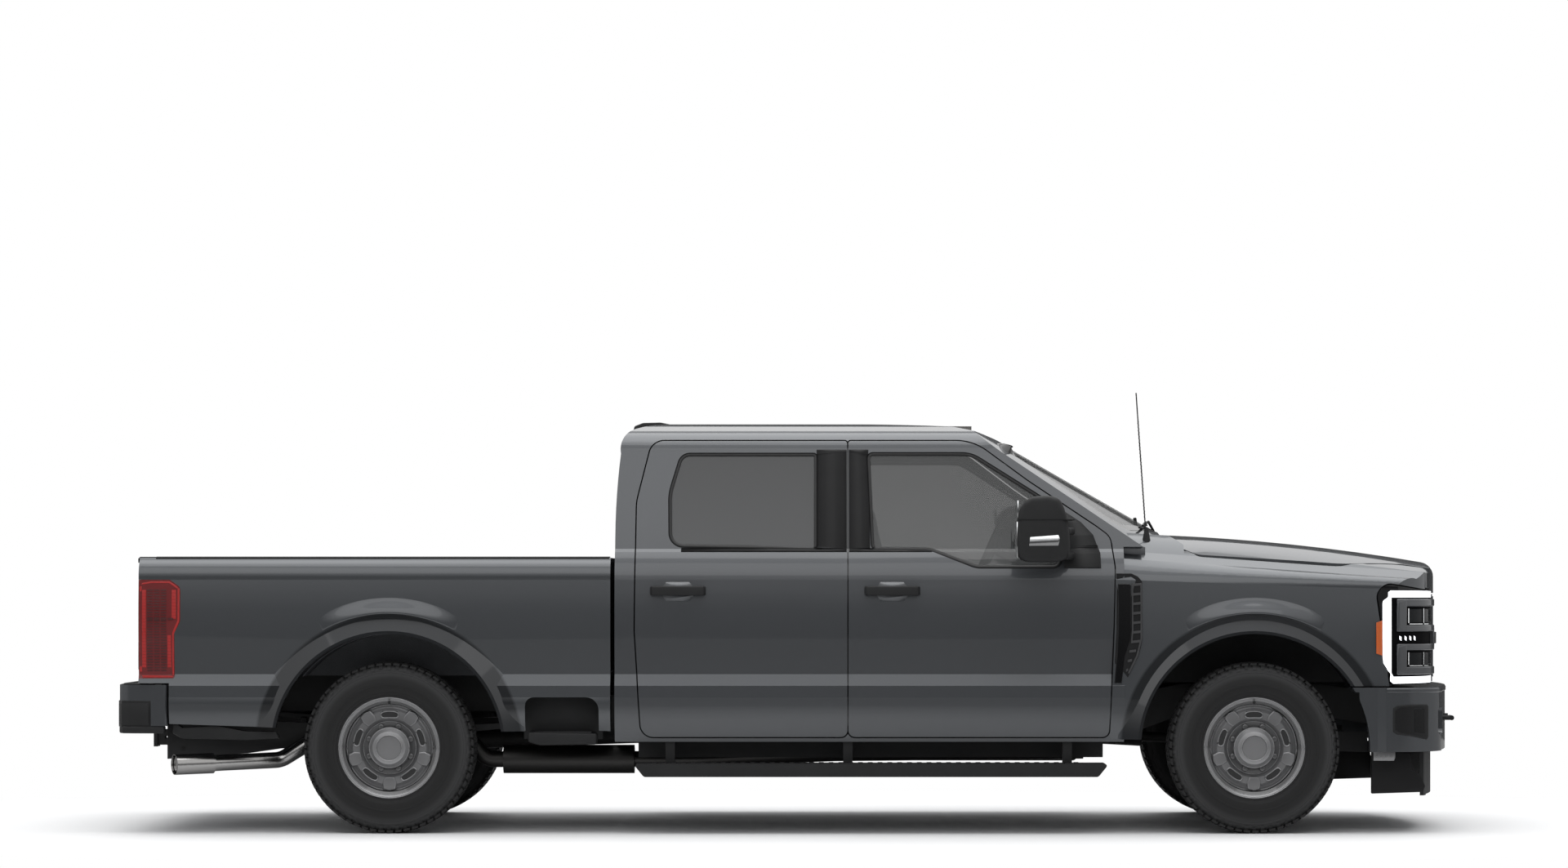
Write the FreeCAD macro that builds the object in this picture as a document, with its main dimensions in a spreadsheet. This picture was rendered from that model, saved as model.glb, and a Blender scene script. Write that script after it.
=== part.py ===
import FreeCAD
import Part
import Sketcher
import math
import os

# A crew cab pickup truck with single rear wheels and four wheel drive.
# +X points forward, +Y to the truck's left, +Z up; the origin is on the ground
# at the middle of the truck's length and width. All sizes are in millimetres.

Vector = FreeCAD.Vector

SIZES = [
    # Whole truck
    ("overall_length", 6350),
    ("front_overhang", 1005),
    ("wheelbase", 4059),
    ("roof_height", 1949),
    ("track_front", 1735),
    ("track_rear", 1707),
    # Wheels
    ("tyre_radius", 402),
    ("tyre_width", 245),
    ("rim_radius", 238),
    ("rim_width", 206),
    ("bead_gap", 0.4),
    ("disc_offset", 62),
    ("slot_count", 5),
    ("hub_radius", 91),
    # Body
    ("body_half_width", 1000),
    ("axle_to_door", 675),
    ("front_door_length", 1231),
    ("rear_door_length", 985),
    ("cab_rear_pillar", 109),
    ("bed_gap", 20),
    ("panel_gap", 6),
    ("door_bottom", 453),
    ("door_top", 1848),
    ("door_depth", 62),
    ("door_skin", 15),
    ("door_step", 15),
    ("rocker_bottom", 430),
    ("floor_bottom", 650),
    ("floor_thickness", 30),
    ("crease_height", 751),
    ("shoulder_height", 1190),
    ("belt_height", 1336),
    ("arch_radius", 535),
    ("flare_radius", 640),
    ("flare_reach", 16),
    ("glass_thickness", 5),
    ("glass_inset", 7),
    # Bed
    ("bed_length", 2080),
    ("bed_floor_height", 758),
    ("bed_rail_height", 1294),
    ("bed_half_width", 850),
    ("wheelhouse_half_gap", 642),
    ("tailgate_thickness", 72),
    ("bed_wall", 50),
    ("bed_floor_thickness", 23),
    ("tailgate_open_gap", 9),
    # Frame
    ("frame_half_width", 430),
    ("rail_height", 190),
    ("rail_width", 70),
    ("rail_wall", 7),
    ("rail_top", 635),
    # Hitch
    ("receiver_bore", 63.5),
    ("receiver_wall", 6),
    ("receiver_height", 420),
    ("hitch_pin_hole", 16.2),
    ("ball_hole", 26),
    # Running gear
    ("axle_tube_radius", 42),
    ("kingpin_half_width", 790),
    ("exhaust_pipe_radius", 38),
    ("exhaust_tip_radius", 48),
    ("engine_length", 820),
    ("engine_width", 560),
    ("engine_height", 560),
    ("tank_length", 1150),
    ("tank_width", 230),
    ("tank_height", 250),
    ("steering_wheel_diameter", 385),
]

doc = FreeCAD.newDocument("pickup")
sheet = doc.addObject("Spreadsheet::Sheet", "Sizes")
for row, (alias, value) in enumerate(SIZES, start=1):
    sheet.set("A%d" % row, alias)
    sheet.set("B%d" % row, str(value))
    sheet.setAlias("B%d" % row, alias)
doc.recompute()


def size(alias):
    """A driving dimension, read from the sheet."""
    return float(sheet.get(alias))


parts = {}


def keep(label, item):
    """Registers a document object as the sub-part of this name."""
    item.Label = label
    parts[label] = item
    return item


def feature(label, shape):
    """A sub-part whose shape comes straight from surface and solid operations."""
    item = doc.addObject("Part::Feature", label)
    item.Shape = shape
    item.Placement = shape.Placement
    return keep(label, item)


# Outlines and prisms


def on_plane(plane, a, b, depth):
    """The point (a, b) of an xz, yz or xy outline at this depth along the third axis."""
    if plane == "xz":
        return Vector(a, depth, b)
    if plane == "yz":
        return Vector(depth, a, b)
    return Vector(a, b, depth)


def along(plane, distance):
    """The extrusion of an outline on this plane."""
    return on_plane(plane, 0, 0, distance)


def outline(plane, points, depth=0.0):
    """A closed wire; a point's third number is the radius that rounds its corner."""
    count = len(points)
    corners = []
    for i, point in enumerate(points):
        here = Vector(point[0], point[1], 0)
        radius = point[2] if len(point) > 2 else 0.0
        if not radius:
            corners.append((here, None, here))
            continue
        back = Vector(points[i - 1][0], points[i - 1][1], 0) - here
        ahead = Vector(points[(i + 1) % count][0], points[(i + 1) % count][1], 0) - here
        back.normalize()
        ahead.normalize()
        half = back.getAngle(ahead) / 2
        reach = radius / math.tan(half)
        middle = back + ahead
        middle.normalize()
        top = here + middle * (radius / math.sin(half) - radius)
        corners.append((here + back * reach, top, here + ahead * reach))
    edges = []
    for i, (first, top, last) in enumerate(corners):
        start, stop = (on_plane(plane, p.x, p.y, depth) for p in (first, last))
        if top is not None:
            through = on_plane(plane, top.x, top.y, depth)
            edges.append(Part.Arc(start, through, stop).toShape())
        following = corners[(i + 1) % count][0]
        target = on_plane(plane, following.x, following.y, depth)
        if stop.distanceToPoint(target) > 1e-6:
            edges.append(Part.LineSegment(stop, target).toShape())
    return Part.Wire(edges)


def prism(plane, points, start, stop):
    """A solid between two depths with this outline."""
    face = Part.Face(outline(plane, points, start))
    return face.extrude(along(plane, stop - start))


def curved_wire(plane, start, steps, depth=0.0):
    """A closed wire of straight steps [end] and arc steps [through, end]."""
    edges = []
    here = on_plane(plane, start[0], start[1], depth)
    first = here
    for step in steps:
        there = on_plane(plane, step[-1][0], step[-1][1], depth)
        if len(step) == 2:
            through = on_plane(plane, step[0][0], step[0][1], depth)
            edges.append(Part.Arc(here, through, there).toShape())
        else:
            edges.append(Part.LineSegment(here, there).toShape())
        here = there
    if here.distanceToPoint(first) > 1e-6:
        edges.append(Part.LineSegment(here, first).toShape())
    return Part.Wire(edges)


def curved_prism(plane, start, steps, low, high):
    """A solid between two depths with a curved outline."""
    face = Part.Face(curved_wire(plane, start, steps, low))
    return face.extrude(along(plane, high - low))


def mirrored(shape):
    """The same shape on the truck's other side."""
    return shape.mirror(Vector(0, 0, 0), Vector(0, 1, 0))


def both_sides(shape):
    """A shape and its mirror image, joined where they meet."""
    return shape.fuse(mirrored(shape)).removeSplitter()


def cylinder_y(radius, x, z, start, stop):
    """A cylinder across the truck."""
    return Part.makeCylinder(radius, stop - start, Vector(x, start, z), Vector(0, 1, 0))


def block(x0, x1, y0, y1, z0, z1):
    """A box between two corners."""
    return Part.makeBox(x1 - x0, y1 - y0, z1 - z0, Vector(x0, y0, z0))


def inset(points, distance):
    """An outline moved inwards by a distance, with its corner radii cut to match."""
    count = len(points)
    area = sum(
        points[i - 1][0] * points[i][1] - points[i][0] * points[i - 1][1] for i in range(count)
    )
    turn = 1.0 if area > 0 else -1.0
    moved = []
    for i, point in enumerate(points):
        here = Vector(point[0], point[1], 0)
        before = Vector(points[i - 1][0], points[i - 1][1], 0)
        after = Vector(points[(i + 1) % count][0], points[(i + 1) % count][1], 0)
        one = here - before
        two = after - here
        one.normalize()
        two.normalize()
        normal_one = Vector(-one.y, one.x, 0) * turn
        normal_two = Vector(-two.y, two.x, 0) * turn
        bisector = normal_one + normal_two
        bisector.normalize()
        shift = distance / bisector.dot(normal_one)
        place = here + bisector * shift
        radius = point[2] if len(point) > 2 else 0.0
        if radius:
            radius = max(radius - distance * turn * one.cross(two).z / abs(one.cross(two).z), 2.0)
        moved.append((place.x, place.y, radius) if radius else (place.x, place.y))
    return moved


# Stations along the truck and common heights

FRONT_AXLE_X = size("overall_length") / 2 - size("front_overhang")
REAR_AXLE_X = FRONT_AXLE_X - size("wheelbase")
AXLE_Z = size("tyre_radius")
DOOR_FRONT_X = FRONT_AXLE_X - size("axle_to_door")
DOOR_SPLIT_X = DOOR_FRONT_X - size("front_door_length")
DOOR_REAR_X = DOOR_SPLIT_X - size("rear_door_length")
CAB_REAR_X = DOOR_REAR_X - size("cab_rear_pillar")
BED_FRONT_X = CAB_REAR_X - size("bed_gap")
FRONT_X = size("overall_length") / 2
REAR_X = -FRONT_X
ROOF_Z = size("roof_height")
BELT_Z = size("belt_height")
CREASE_Z = size("crease_height")
SHOULDER_Z = size("shoulder_height")
SIDE_Y = size("body_half_width")
OUT_Y = SIDE_Y + 100
GAP = size("panel_gap")
WINDSHIELD_BASE_X = DOOR_FRONT_X + 267
WINDSHIELD_BASE_Z = BELT_Z + 101
FIREWALL_X = DOOR_FRONT_X + 65
CAB_END_X = WINDSHIELD_BASE_X + 14


# The cab's side section, roof and windshield


def lower_side(shift=0.0):
    """Steps up the body side from the rocker's edge to the belt, moved in by shift."""
    return [
        [(SIDE_Y - 20 - shift, 517), (SIDE_Y - shift, 640)],
        [(SIDE_Y - 2 - shift, CREASE_Z - 57)],
        [(SIDE_Y - 27 - shift, CREASE_Z - 3)],
        [(SIDE_Y - 13 - shift, (CREASE_Z + SHOULDER_Z) / 2), (SIDE_Y - 20 - shift, SHOULDER_Z)],
        [(SIDE_Y - 35 - shift, SHOULDER_Z + 72), (SIDE_Y - 66 - shift, BELT_Z - 15)],
    ]


def cab_section(shift=0.0, low=0.0):
    """Start and steps of the cab's half section, moved in and down by shift."""
    start = (0, low)
    steps = [
        [(SIDE_Y - 52 - shift, low)],
        *lower_side(shift),
        [(SIDE_Y - 78 - shift, BELT_Z)],
        [(SIDE_Y - 134 - shift, 1575), (SIDE_Y - 200 - shift, ROOF_Z - 152)],
        [(SIDE_Y - 232 - shift, ROOF_Z - 90), (SIDE_Y - 310 - shift, ROOF_Z - 48 - shift / 2)],
        [(SIDE_Y - 640, ROOF_Z - 9 - shift), (0, ROOF_Z - shift)],
    ]
    return start, steps


def windshield_cutter(shift=0.0):
    """Everything ahead of the windshield's outer surface, moved forward by shift."""
    wires = []
    for height, centre, side in (
        (1300, WINDSHIELD_BASE_X + 241, WINDSHIELD_BASE_X - 41),
        (2000, WINDSHIELD_BASE_X - 989, WINDSHIELD_BASE_X - 1072),
    ):
        arc_half = 800
        far = WINDSHIELD_BASE_X + 900
        start = (side + shift, -arc_half - 200)
        steps = [
            [(side + shift, -arc_half)],
            [(centre + shift, 0), (side + shift, arc_half)],
            [(side + shift, arc_half + 200)],
            [(far, arc_half + 200)],
            [(far, -arc_half - 200)],
        ]
        wires.append(curved_wire("xy", start, steps, height))
    return Part.makeLoft(wires, True, True)


def cab_profile(shift=0.0, low=0.0):
    """The cab seen from the side, moved in by shift, with its nose left to the windshield."""
    back = CAB_REAR_X + shift
    top = ROOF_Z + 2 - shift
    return curved_prism(
        "xz",
        (back, low),
        [
            [(back, 1384)],
            [(back + 6, 1600), (back + 22, 1788)],
            [(back + 38, top - 80), (back + 90, top - 38)],
            [(back + 170, top - 12), (back + 300, top - 4)],
            [(DOOR_SPLIT_X - 100, top), (DOOR_SPLIT_X + 500, top - 24)],
            [(CAB_END_X, top - 300)],
            [(CAB_END_X, BELT_Z + 10)],
            [(FIREWALL_X - shift, BELT_Z + 10)],
            [(FIREWALL_X - shift, low)],
        ],
        -OUT_Y,
        OUT_Y,
    )


INNER_SHIFT = 115
ROOF_SHIFT = 38


def cab_half_section(start, steps, x0, x1):
    """The half section run along the cab."""
    return curved_prism("yz", start, steps, x0, x1)


outer_half = cab_half_section(*cab_section(0, size("rocker_bottom")), CAB_REAR_X - 50, CAB_END_X)
outer_body = both_sides(outer_half).common(cab_profile(0, size("rocker_bottom")))
outer_body = outer_body.cut(windshield_cutter())

INNER_LOW = size("floor_bottom") + size("floor_thickness")
inner_half = curved_prism(
    "yz",
    (0, INNER_LOW),
    [
        [(SIDE_Y - INNER_SHIFT - 15, INNER_LOW)],
        [(SIDE_Y - INNER_SHIFT - 15, SHOULDER_Z)],
        [(SIDE_Y - INNER_SHIFT - 45, BELT_Z)],
        [(SIDE_Y - 190, 1575), (SIDE_Y - 258, ROOF_Z - 165)],
        [(SIDE_Y - 290, ROOF_Z - 115), (SIDE_Y - 370, ROOF_Z - 88)],
        [(SIDE_Y - 700, ROOF_Z - 48), (0, ROOF_Z - ROOF_SHIFT)],
    ],
    CAB_REAR_X - 50,
    CAB_END_X,
)
inner_body = both_sides(inner_half).common(cab_profile(45, INNER_LOW))
inner_body = inner_body.cut(windshield_cutter(-90))
under_cut = block(CAB_REAR_X - 60, CAB_END_X, -SIDE_Y + 140, SIDE_Y - 140, 0, size("floor_bottom"))
shell = outer_body.cut(inner_body).cut(under_cut)

# Doors, seen from the side

FRONT_DOOR = [
    (DOOR_SPLIT_X + GAP / 2, size("door_bottom"), 30),
    (DOOR_FRONT_X - 8, size("door_bottom"), 30),
    (DOOR_FRONT_X + 14, 980, 900),
    (DOOR_FRONT_X + 20, 1250, 60),
    (DOOR_FRONT_X + 2, 1392, 70),
    (DOOR_FRONT_X - 62, 1440, 60),
    (DOOR_FRONT_X - 380, 1655, 500),
    (DOOR_FRONT_X - 640, size("door_top"), 240),
    (DOOR_SPLIT_X + GAP / 2, size("door_top"), 12),
]
REAR_DOOR = [
    (DOOR_REAR_X + 16, size("door_bottom"), 60),
    (DOOR_SPLIT_X - GAP / 2, size("door_bottom"), 30),
    (DOOR_SPLIT_X - GAP / 2, size("door_top"), 12),
    (DOOR_REAR_X + 62, size("door_top"), 70),
    (DOOR_REAR_X - 8, 1560, 250),
    (DOOR_REAR_X - 14, 950, 250),
]
FRONT_WINDOW = [
    (DOOR_SPLIT_X + 108, 1333, 25),
    (DOOR_SPLIT_X + 380, 1330, 120),
    (DOOR_SPLIT_X + 600, 1243, 120),
    (DOOR_FRONT_X - 225, 1243, 45),
    (DOOR_FRONT_X - 221, 1524, 12),
    (DOOR_FRONT_X - 345, 1604, 500),
    (DOOR_FRONT_X - 645, 1795, 160),
    (DOOR_SPLIT_X + 88, 1795, 30),
]
REAR_WINDOW = [
    (DOOR_REAR_X + 142, 1342, 70),
    (DOOR_SPLIT_X - 142, 1333, 20),
    (DOOR_SPLIT_X - 142, 1792, 20),
    (DOOR_REAR_X + 195, 1792, 60),
    (DOOR_REAR_X + 138, 1600, 250),
]

FRONT_HINGE_X = DOOR_FRONT_X - 14
REAR_HINGE_X = DOOR_SPLIT_X - 27
HINGE_LEAN = -0.0371
HINGE_LOW_Z = CREASE_Z - 91
HINGE_LOW_Y = SIDE_Y - 12
HINGE_HEIGHTS = (HINGE_LOW_Z, HINGE_LOW_Z + 420)
KNUCKLE_HALF = 20
KNUCKLE_RADIUS = 5.5
ARM_HALF = 4


def hinge_y(z):
    """How far out the leaning door hinge axis lies at this height."""
    return HINGE_LOW_Y + (z - HINGE_LOW_Z) * HINGE_LEAN


def hinge_knuckle(x, z, room, inner_y):
    """A left hinge's knuckle and its arm from the post, grown by room for the space round it."""
    half = KNUCKLE_HALF + 10 * room
    way = Vector(0, HINGE_LEAN, 1).normalize()
    start = Vector(x, hinge_y(z), z) - way * half
    barrel = Part.makeCylinder(KNUCKLE_RADIUS + room, 2 * half, start, way)
    reach = ARM_HALF + 12 * room
    arm = block(x - reach, x + reach, inner_y, hinge_y(z), z - half, z + half)
    return barrel.fuse(arm)


door_zone_low = SIDE_Y - 330
door_zone_high = SIDE_Y + 60


def skin_layer(x0, x1, depth):
    """The outer layer of the body side down to a depth."""
    whole = cab_half_section(*cab_section(0, size("rocker_bottom")), x0, x1)
    core = cab_half_section(*cab_section(depth, size("rocker_bottom")), x0, x1)
    return whole.cut(core)


def door(points, window, hinge_x):
    """A left door: its skin on the whole outline, its core stepped in behind it, and its hinge pockets."""
    full = prism("xz", points, door_zone_low, door_zone_high)
    stepped = prism("xz", inset(points, size("door_step")), door_zone_low, door_zone_high)
    x0 = min(p[0] for p in points) - 40
    x1 = max(p[0] for p in points) + 40
    skin = skin_layer(x0, x1, size("door_skin")).common(full)
    core = shell.common(skin_layer(x0, x1, size("door_depth"))).common(stepped)
    made = skin.fuse(core).cut(prism("xz", window, door_zone_low, door_zone_high))
    for z in HINGE_HEIGHTS:
        made = made.cut(hinge_knuckle(hinge_x, z, 0.3, door_zone_low))
        half = KNUCKLE_HALF + 3
        made = made.cut(block(hinge_x, x1, door_zone_low, hinge_y(z) + 5, z - half, z + half))
    return made.removeSplitter()


def side_glass(window):
    """Curved glass that fills a door's window."""
    clear = inset(window, 0.3)
    x0 = min(p[0] for p in window) - 40
    x1 = max(p[0] for p in window) + 40
    outside = size("glass_inset")
    low = size("rocker_bottom")
    whole = cab_half_section(*cab_section(outside, low), x0, x1)
    core = cab_half_section(*cab_section(outside + size("glass_thickness"), low), x0, x1)
    return whole.cut(core).common(prism("xz", clear, door_zone_low, door_zone_high))


def handle(x_rear, x_front, z):
    """A pull handle standing off a door, with its two feet."""
    skin = SIDE_Y - 16
    bar = prism("xy", [
        (x_rear, skin + 6, 4),
        (x_rear + 18, skin + 28, 14),
        (x_front - 18, skin + 28, 14),
        (x_front, skin + 6, 4),
        (x_front - 60, skin - 2, 8),
        (x_front - 70, skin + 14, 6),
        (x_rear + 70, skin + 14, 6),
        (x_rear + 60, skin - 2, 8),
    ], z - 19, z + 19)
    return bar


front_door_left = door(FRONT_DOOR, FRONT_WINDOW, FRONT_HINGE_X)
rear_door_left = door(REAR_DOOR, REAR_WINDOW, REAR_HINGE_X)
HANDLE_Z = SHOULDER_Z - 51
front_door_left = front_door_left.fuse(handle(DOOR_SPLIT_X + 75, DOOR_SPLIT_X + 340, HANDLE_Z))
rear_door_left = rear_door_left.fuse(handle(DOOR_REAR_X + 55, DOOR_REAR_X + 320, HANDLE_Z))
feature("door_front_left", front_door_left)
feature("door_front_right", mirrored(front_door_left))
feature("door_rear_left", rear_door_left)
feature("door_rear_right", mirrored(rear_door_left))
for label, window in (("front", FRONT_WINDOW), ("rear", REAR_WINDOW)):
    glass = side_glass(window)
    feature("glass_%s_left" % label, glass)
    feature("glass_%s_right" % label, mirrored(glass))

# Cab shell: the shell without doors, windshield and rear window, with a post behind each door's hinges

for points in (FRONT_DOOR, REAR_DOOR):
    opening = prism("xz", inset(points, -GAP), door_zone_low, door_zone_high + 60)
    shell = shell.cut(opening).cut(mirrored(opening))
WINDSHIELD_OPENING = [
    (-745, WINDSHIELD_BASE_Z - 12, 60),
    (745, WINDSHIELD_BASE_Z - 12, 60),
    (668, ROOF_Z - 108, 90),
    (-668, ROOF_Z - 108, 90),
]
REAR_GLASS_OPENING = [
    (-690, 1400, 60),
    (690, 1400, 60),
    (625, 1775, 60),
    (-625, 1775, 60),
]
shell = shell.cut(prism("yz", WINDSHIELD_OPENING, DOOR_SPLIT_X + 300, CAB_END_X + 50))
shell = shell.cut(prism("yz", REAR_GLASS_OPENING, CAB_REAR_X - 60, CAB_REAR_X + 200))
for x0, x1, top in (
    (DOOR_FRONT_X - 50, DOOR_FRONT_X + 65, SHOULDER_Z + 50),
    (DOOR_SPLIT_X - 60, DOOR_SPLIT_X + 60, size("door_top") + 20),
):
    post = cab_half_section(*cab_section(size("door_depth") + 8, size("rocker_bottom")), x0, x1)
    post = post.cut(cab_half_section(*cab_section(INNER_SHIFT, size("rocker_bottom") - 10), x0 - 1, x1 + 1))
    post = post.common(block(x0, x1, 500, OUT_Y, size("rocker_bottom") + 10, top))
    shell = shell.fuse([post, mirrored(post)])
for x in (FRONT_HINGE_X, REAR_HINGE_X):
    for z in HINGE_HEIGHTS:
        knuckle = hinge_knuckle(x, z, 0, SIDE_Y - 90)
        shell = shell.fuse([knuckle, mirrored(knuckle)])
feature("cab_shell", shell.removeSplitter())

windshield = windshield_cutter(-20).cut(windshield_cutter(-8))
windshield = windshield.common(
    prism("yz", inset(WINDSHIELD_OPENING, 0.3), DOOR_SPLIT_X + 300, CAB_END_X + 50)
)
rear_glass_outer = cab_profile(12, 1300).cut(cab_profile(17, 1200))
rear_glass = rear_glass_outer.common(
    prism("yz", inset(REAR_GLASS_OPENING, 0.3), CAB_REAR_X - 60, CAB_REAR_X + 120)
)
feature("windshield", windshield)
feature("rear_window", rear_glass)


# The front clip: one envelope that fenders, hood, headlamps and grille share

NOSE_X = FRONT_X - 55
HOOD_REAR_X = WINDSHIELD_BASE_X + 88
HOOD_THICKNESS = 26
HOOD_FRONT_Z = 1128
FENDER_SLOPE = 0.035
CROWN_SLOPE = 0.07
FENDER_SHEET = 16
SECTION_X = HOOD_REAR_X + 350


def nose_plan(shift, half_width, low, high):
    """The front of the truck seen from above, moved back and in by shift."""
    front = NOSE_X - shift
    return curved_prism(
        "xy",
        (DOOR_FRONT_X - 300, -half_width - 80),
        [
            [(front - 460, -half_width - 80)],
            [(front - 390, -half_width + shift)],
            [(front - 150, -half_width * 0.885 + shift), (front - 96, -half_width * 0.7 + shift)],
            [(front, 0), (front - 96, half_width * 0.7 - shift)],
            [(front - 150, half_width * 0.885 - shift), (front - 390, half_width - shift)],
            [(front - 460, half_width + 80)],
            [(DOOR_FRONT_X - 300, half_width + 80)],
        ],
        low,
        high,
    )


def front_section(shift, low):
    """The left half of the front clip: its shoulder and its crown fall forward by their own slopes."""
    wires = []
    for x in (DOOR_FRONT_X - 100, FRONT_X):
        edge = SHOULDER_Z + (SECTION_X - x) * FENDER_SLOPE
        crown = SHOULDER_Z + (SECTION_X - x) * CROWN_SLOPE
        steps = [
            [(SIDE_Y - 40 - shift, low)],
            [(SIDE_Y - 16 - shift, 520), (SIDE_Y - 3 - shift, 660)],
            [(SIDE_Y - 6 - shift, 900), (SIDE_Y - 19 - shift, edge - 22)],
            [(SIDE_Y - 36 - shift, edge + 24 - shift / 2), (SIDE_Y - 76 - shift, crown + 56 - shift)],
            [(SIDE_Y - 130, crown + 92 - shift)],
            [(SIDE_Y - 185, crown + 142 - shift), (SIDE_Y - 250, crown + 181 - shift)],
            [(0, crown + 181 - shift)],
        ]
        wires.append(curved_wire("yz", (0, low), steps, x))
    return Part.makeLoft(wires, True, True)


CLIP_LOW = 440
clip_outer = both_sides(front_section(0, CLIP_LOW)).common(nose_plan(0, SIDE_Y, 0, 1600))
clip_inner = both_sides(front_section(FENDER_SHEET, CLIP_LOW - 200))
clip_inner = clip_inner.common(nose_plan(FENDER_SHEET, SIDE_Y, 0, 1600))

HOOD_PLAN = [
    (HOOD_REAR_X - 62, -745, 30),
    (HOOD_REAR_X - 62, 745, 30),
    (HOOD_REAR_X + 62, 868, 60),
    (NOSE_X - 520, 868, 300),
    (NOSE_X - 230, 742, 90),
    (NOSE_X + 300, 742),
    (NOSE_X + 300, -742),
    (NOSE_X - 230, -742, 90),
    (NOSE_X - 520, -868, 300),
    (HOOD_REAR_X + 62, -868, 60),
]


def hood_section(x, centre_z, side_z, drop, half_width):
    """A closed hood section at one station, lowered by drop."""
    crown = 0.62 * half_width
    start = (-half_width, HOOD_FRONT_Z)
    top = centre_z - drop
    edge = side_z - drop
    knee = top - 20
    steps = [
        [(-half_width, edge)],
        [(-0.83 * half_width, edge + 0.62 * (knee - edge)), (-crown, knee)],
        [(0, top), (crown, knee)],
        [(0.83 * half_width, edge + 0.62 * (knee - edge)), (half_width, edge)],
        [(half_width, HOOD_FRONT_Z)],
    ]
    return curved_wire("yz", start, steps, x)


HOOD_STATIONS = [
    (HOOD_REAR_X - 100, 1413, 1316),
    (HOOD_REAR_X + 200, 1398, 1296),
    (HOOD_REAR_X + 600, 1364, 1272),
    (NOSE_X - 330, 1322, 1244),
    (NOSE_X + 40, 1262, 1200),
]


def hood_block(drop, half_width, back):
    """The space under the hood's surface, lowered by drop and moved back at the nose."""
    wires = [hood_section(x, top, edge, drop, half_width) for x, top, edge in HOOD_STATIONS]
    solid = Part.makeLoft(wires, True, False)
    return solid.common(nose_plan(back, SIDE_Y, 0, 1600))


def nose_edges(solid, back):
    """The upper edges along the curved front of a hood block."""
    found = []
    for edge in solid.Edges:
        middle = edge.valueAt((edge.FirstParameter + edge.LastParameter) / 2)
        if middle.x > NOSE_X - back - 240 and middle.z > HOOD_FRONT_Z + 20 and edge.Length > 200:
            found.append(edge)
    return found


NOSE_RADIUS = 70
hood_outer = hood_block(0, 880, 0)
hood_outer = hood_outer.makeFillet(NOSE_RADIUS, nose_edges(hood_outer, 0))
hood_inner = hood_block(HOOD_THICKNESS, 920, HOOD_THICKNESS)
hood_inner = hood_inner.makeFillet(NOSE_RADIUS - 25, nose_edges(hood_inner, HOOD_THICKNESS))
hood = hood_outer.cut(hood_inner).common(prism("xy", HOOD_PLAN, 1000, 1600))
HINGE_X = HOOD_REAR_X - 48
HINGE_Z = 1394
HINGE_Y = 205
HINGE_PIN = 4.5
for side in (-1, 1):
    pin_y = side * HINGE_Y
    hood = hood.cut(block(HINGE_X - 20, HINGE_X + 12, pin_y - 11, pin_y + 11, 1300, HINGE_Z + 10))
    hood = hood.cut(cylinder_y(HINGE_PIN + 0.3, HINGE_X, HINGE_Z, pin_y - 21, pin_y + 21))
feature("hood", hood)

# Fenders


def flare(axle_x, inside):
    """The swelling lip round a wheel arch on the left side."""
    return Part.makeCone(
        size("flare_radius"),
        size("arch_radius") + 14,
        SIDE_Y + size("flare_reach") - inside,
        Vector(axle_x, inside, AXLE_Z),
        Vector(0, 1, 0),
    )


def arch_hole(axle_x):
    """The round hole of a wheel arch through the left side."""
    return cylinder_y(size("arch_radius"), axle_x, AXLE_Z, 300, OUT_Y)


LAMP_REAR_TOP_X = NOSE_X - 376
LAMP_REAR_LOW_X = NOSE_X - 314
LAMP_LOW_Z = 692
LAMP_TOP_Z = 1166
FENDER_OUTLINE = [
    (DOOR_FRONT_X - 8 + GAP, size("rocker_bottom") + 12, 20),
    (FRONT_AXLE_X - 200, size("rocker_bottom") + 12),
    (FRONT_AXLE_X + 200, LAMP_LOW_Z),
    (LAMP_REAR_LOW_X - GAP, LAMP_LOW_Z),
    (LAMP_REAR_TOP_X - GAP, LAMP_TOP_Z - 40, 60),
    (LAMP_REAR_TOP_X + 40, LAMP_TOP_Z + 12, 60),
    (LAMP_REAR_TOP_X + 240, LAMP_TOP_Z - 20),
    (LAMP_REAR_TOP_X + 240, 1500),
    (DOOR_FRONT_X - 90, 1500),
    (DOOR_FRONT_X - 90, 1300),
]
hood_hole = prism("xy", inset(HOOD_PLAN, -GAP), HOOD_FRONT_Z - 40, 1600)
fender = clip_outer.common(prism("xz", FENDER_OUTLINE, 300, OUT_Y)).cut(clip_inner)
crown_trim = block(HOOD_REAR_X, FRONT_X, 700, 869, HOOD_FRONT_Z, 1600).cut(hood_outer)
fender = fender.cut(hood_hole).cut(crown_trim)
lip = flare(FRONT_AXLE_X, SIDE_Y - 30).common(prism("xz", FENDER_OUTLINE, 300, OUT_Y))
fender = fender.fuse(lip).cut(arch_hole(FRONT_AXLE_X))
fender = fender.cut(prism("xz", inset(FRONT_DOOR, -GAP), 300, OUT_Y))
fender = fender.cut(outer_body)
fender = max(fender.Solids, key=lambda solid: solid.Volume)
feature("fenders", Part.makeCompound([fender, mirrored(fender)]))

# Cowl panel between windshield and hood

cowl = prism("xy", [
    (WINDSHIELD_BASE_X - 190, -735),
    (HOOD_REAR_X - 68, -735),
    (HOOD_REAR_X - 68, 735),
    (WINDSHIELD_BASE_X - 190, 735),
], 1318, 1372)
cowl = cowl.cut(outer_body)
for side in (-1, 1):
    y0, y1 = side * HINGE_Y - 8, side * HINGE_Y + 8
    post = block(HINGE_X - 7, HINGE_X + 7, y0, y1, 1330, HINGE_Z)
    post = post.fuse(cylinder_y(7, HINGE_X, HINGE_Z, y0, y1))
    ledge = block(HINGE_X - 30, HINGE_X + 7, y0, y1, 1330, 1360)
    pin = cylinder_y(HINGE_PIN, HINGE_X, HINGE_Z, side * HINGE_Y - 18, side * HINGE_Y + 18)
    cowl = cowl.fuse([post, ledge, pin])
feature("cowl", cowl)

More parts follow.
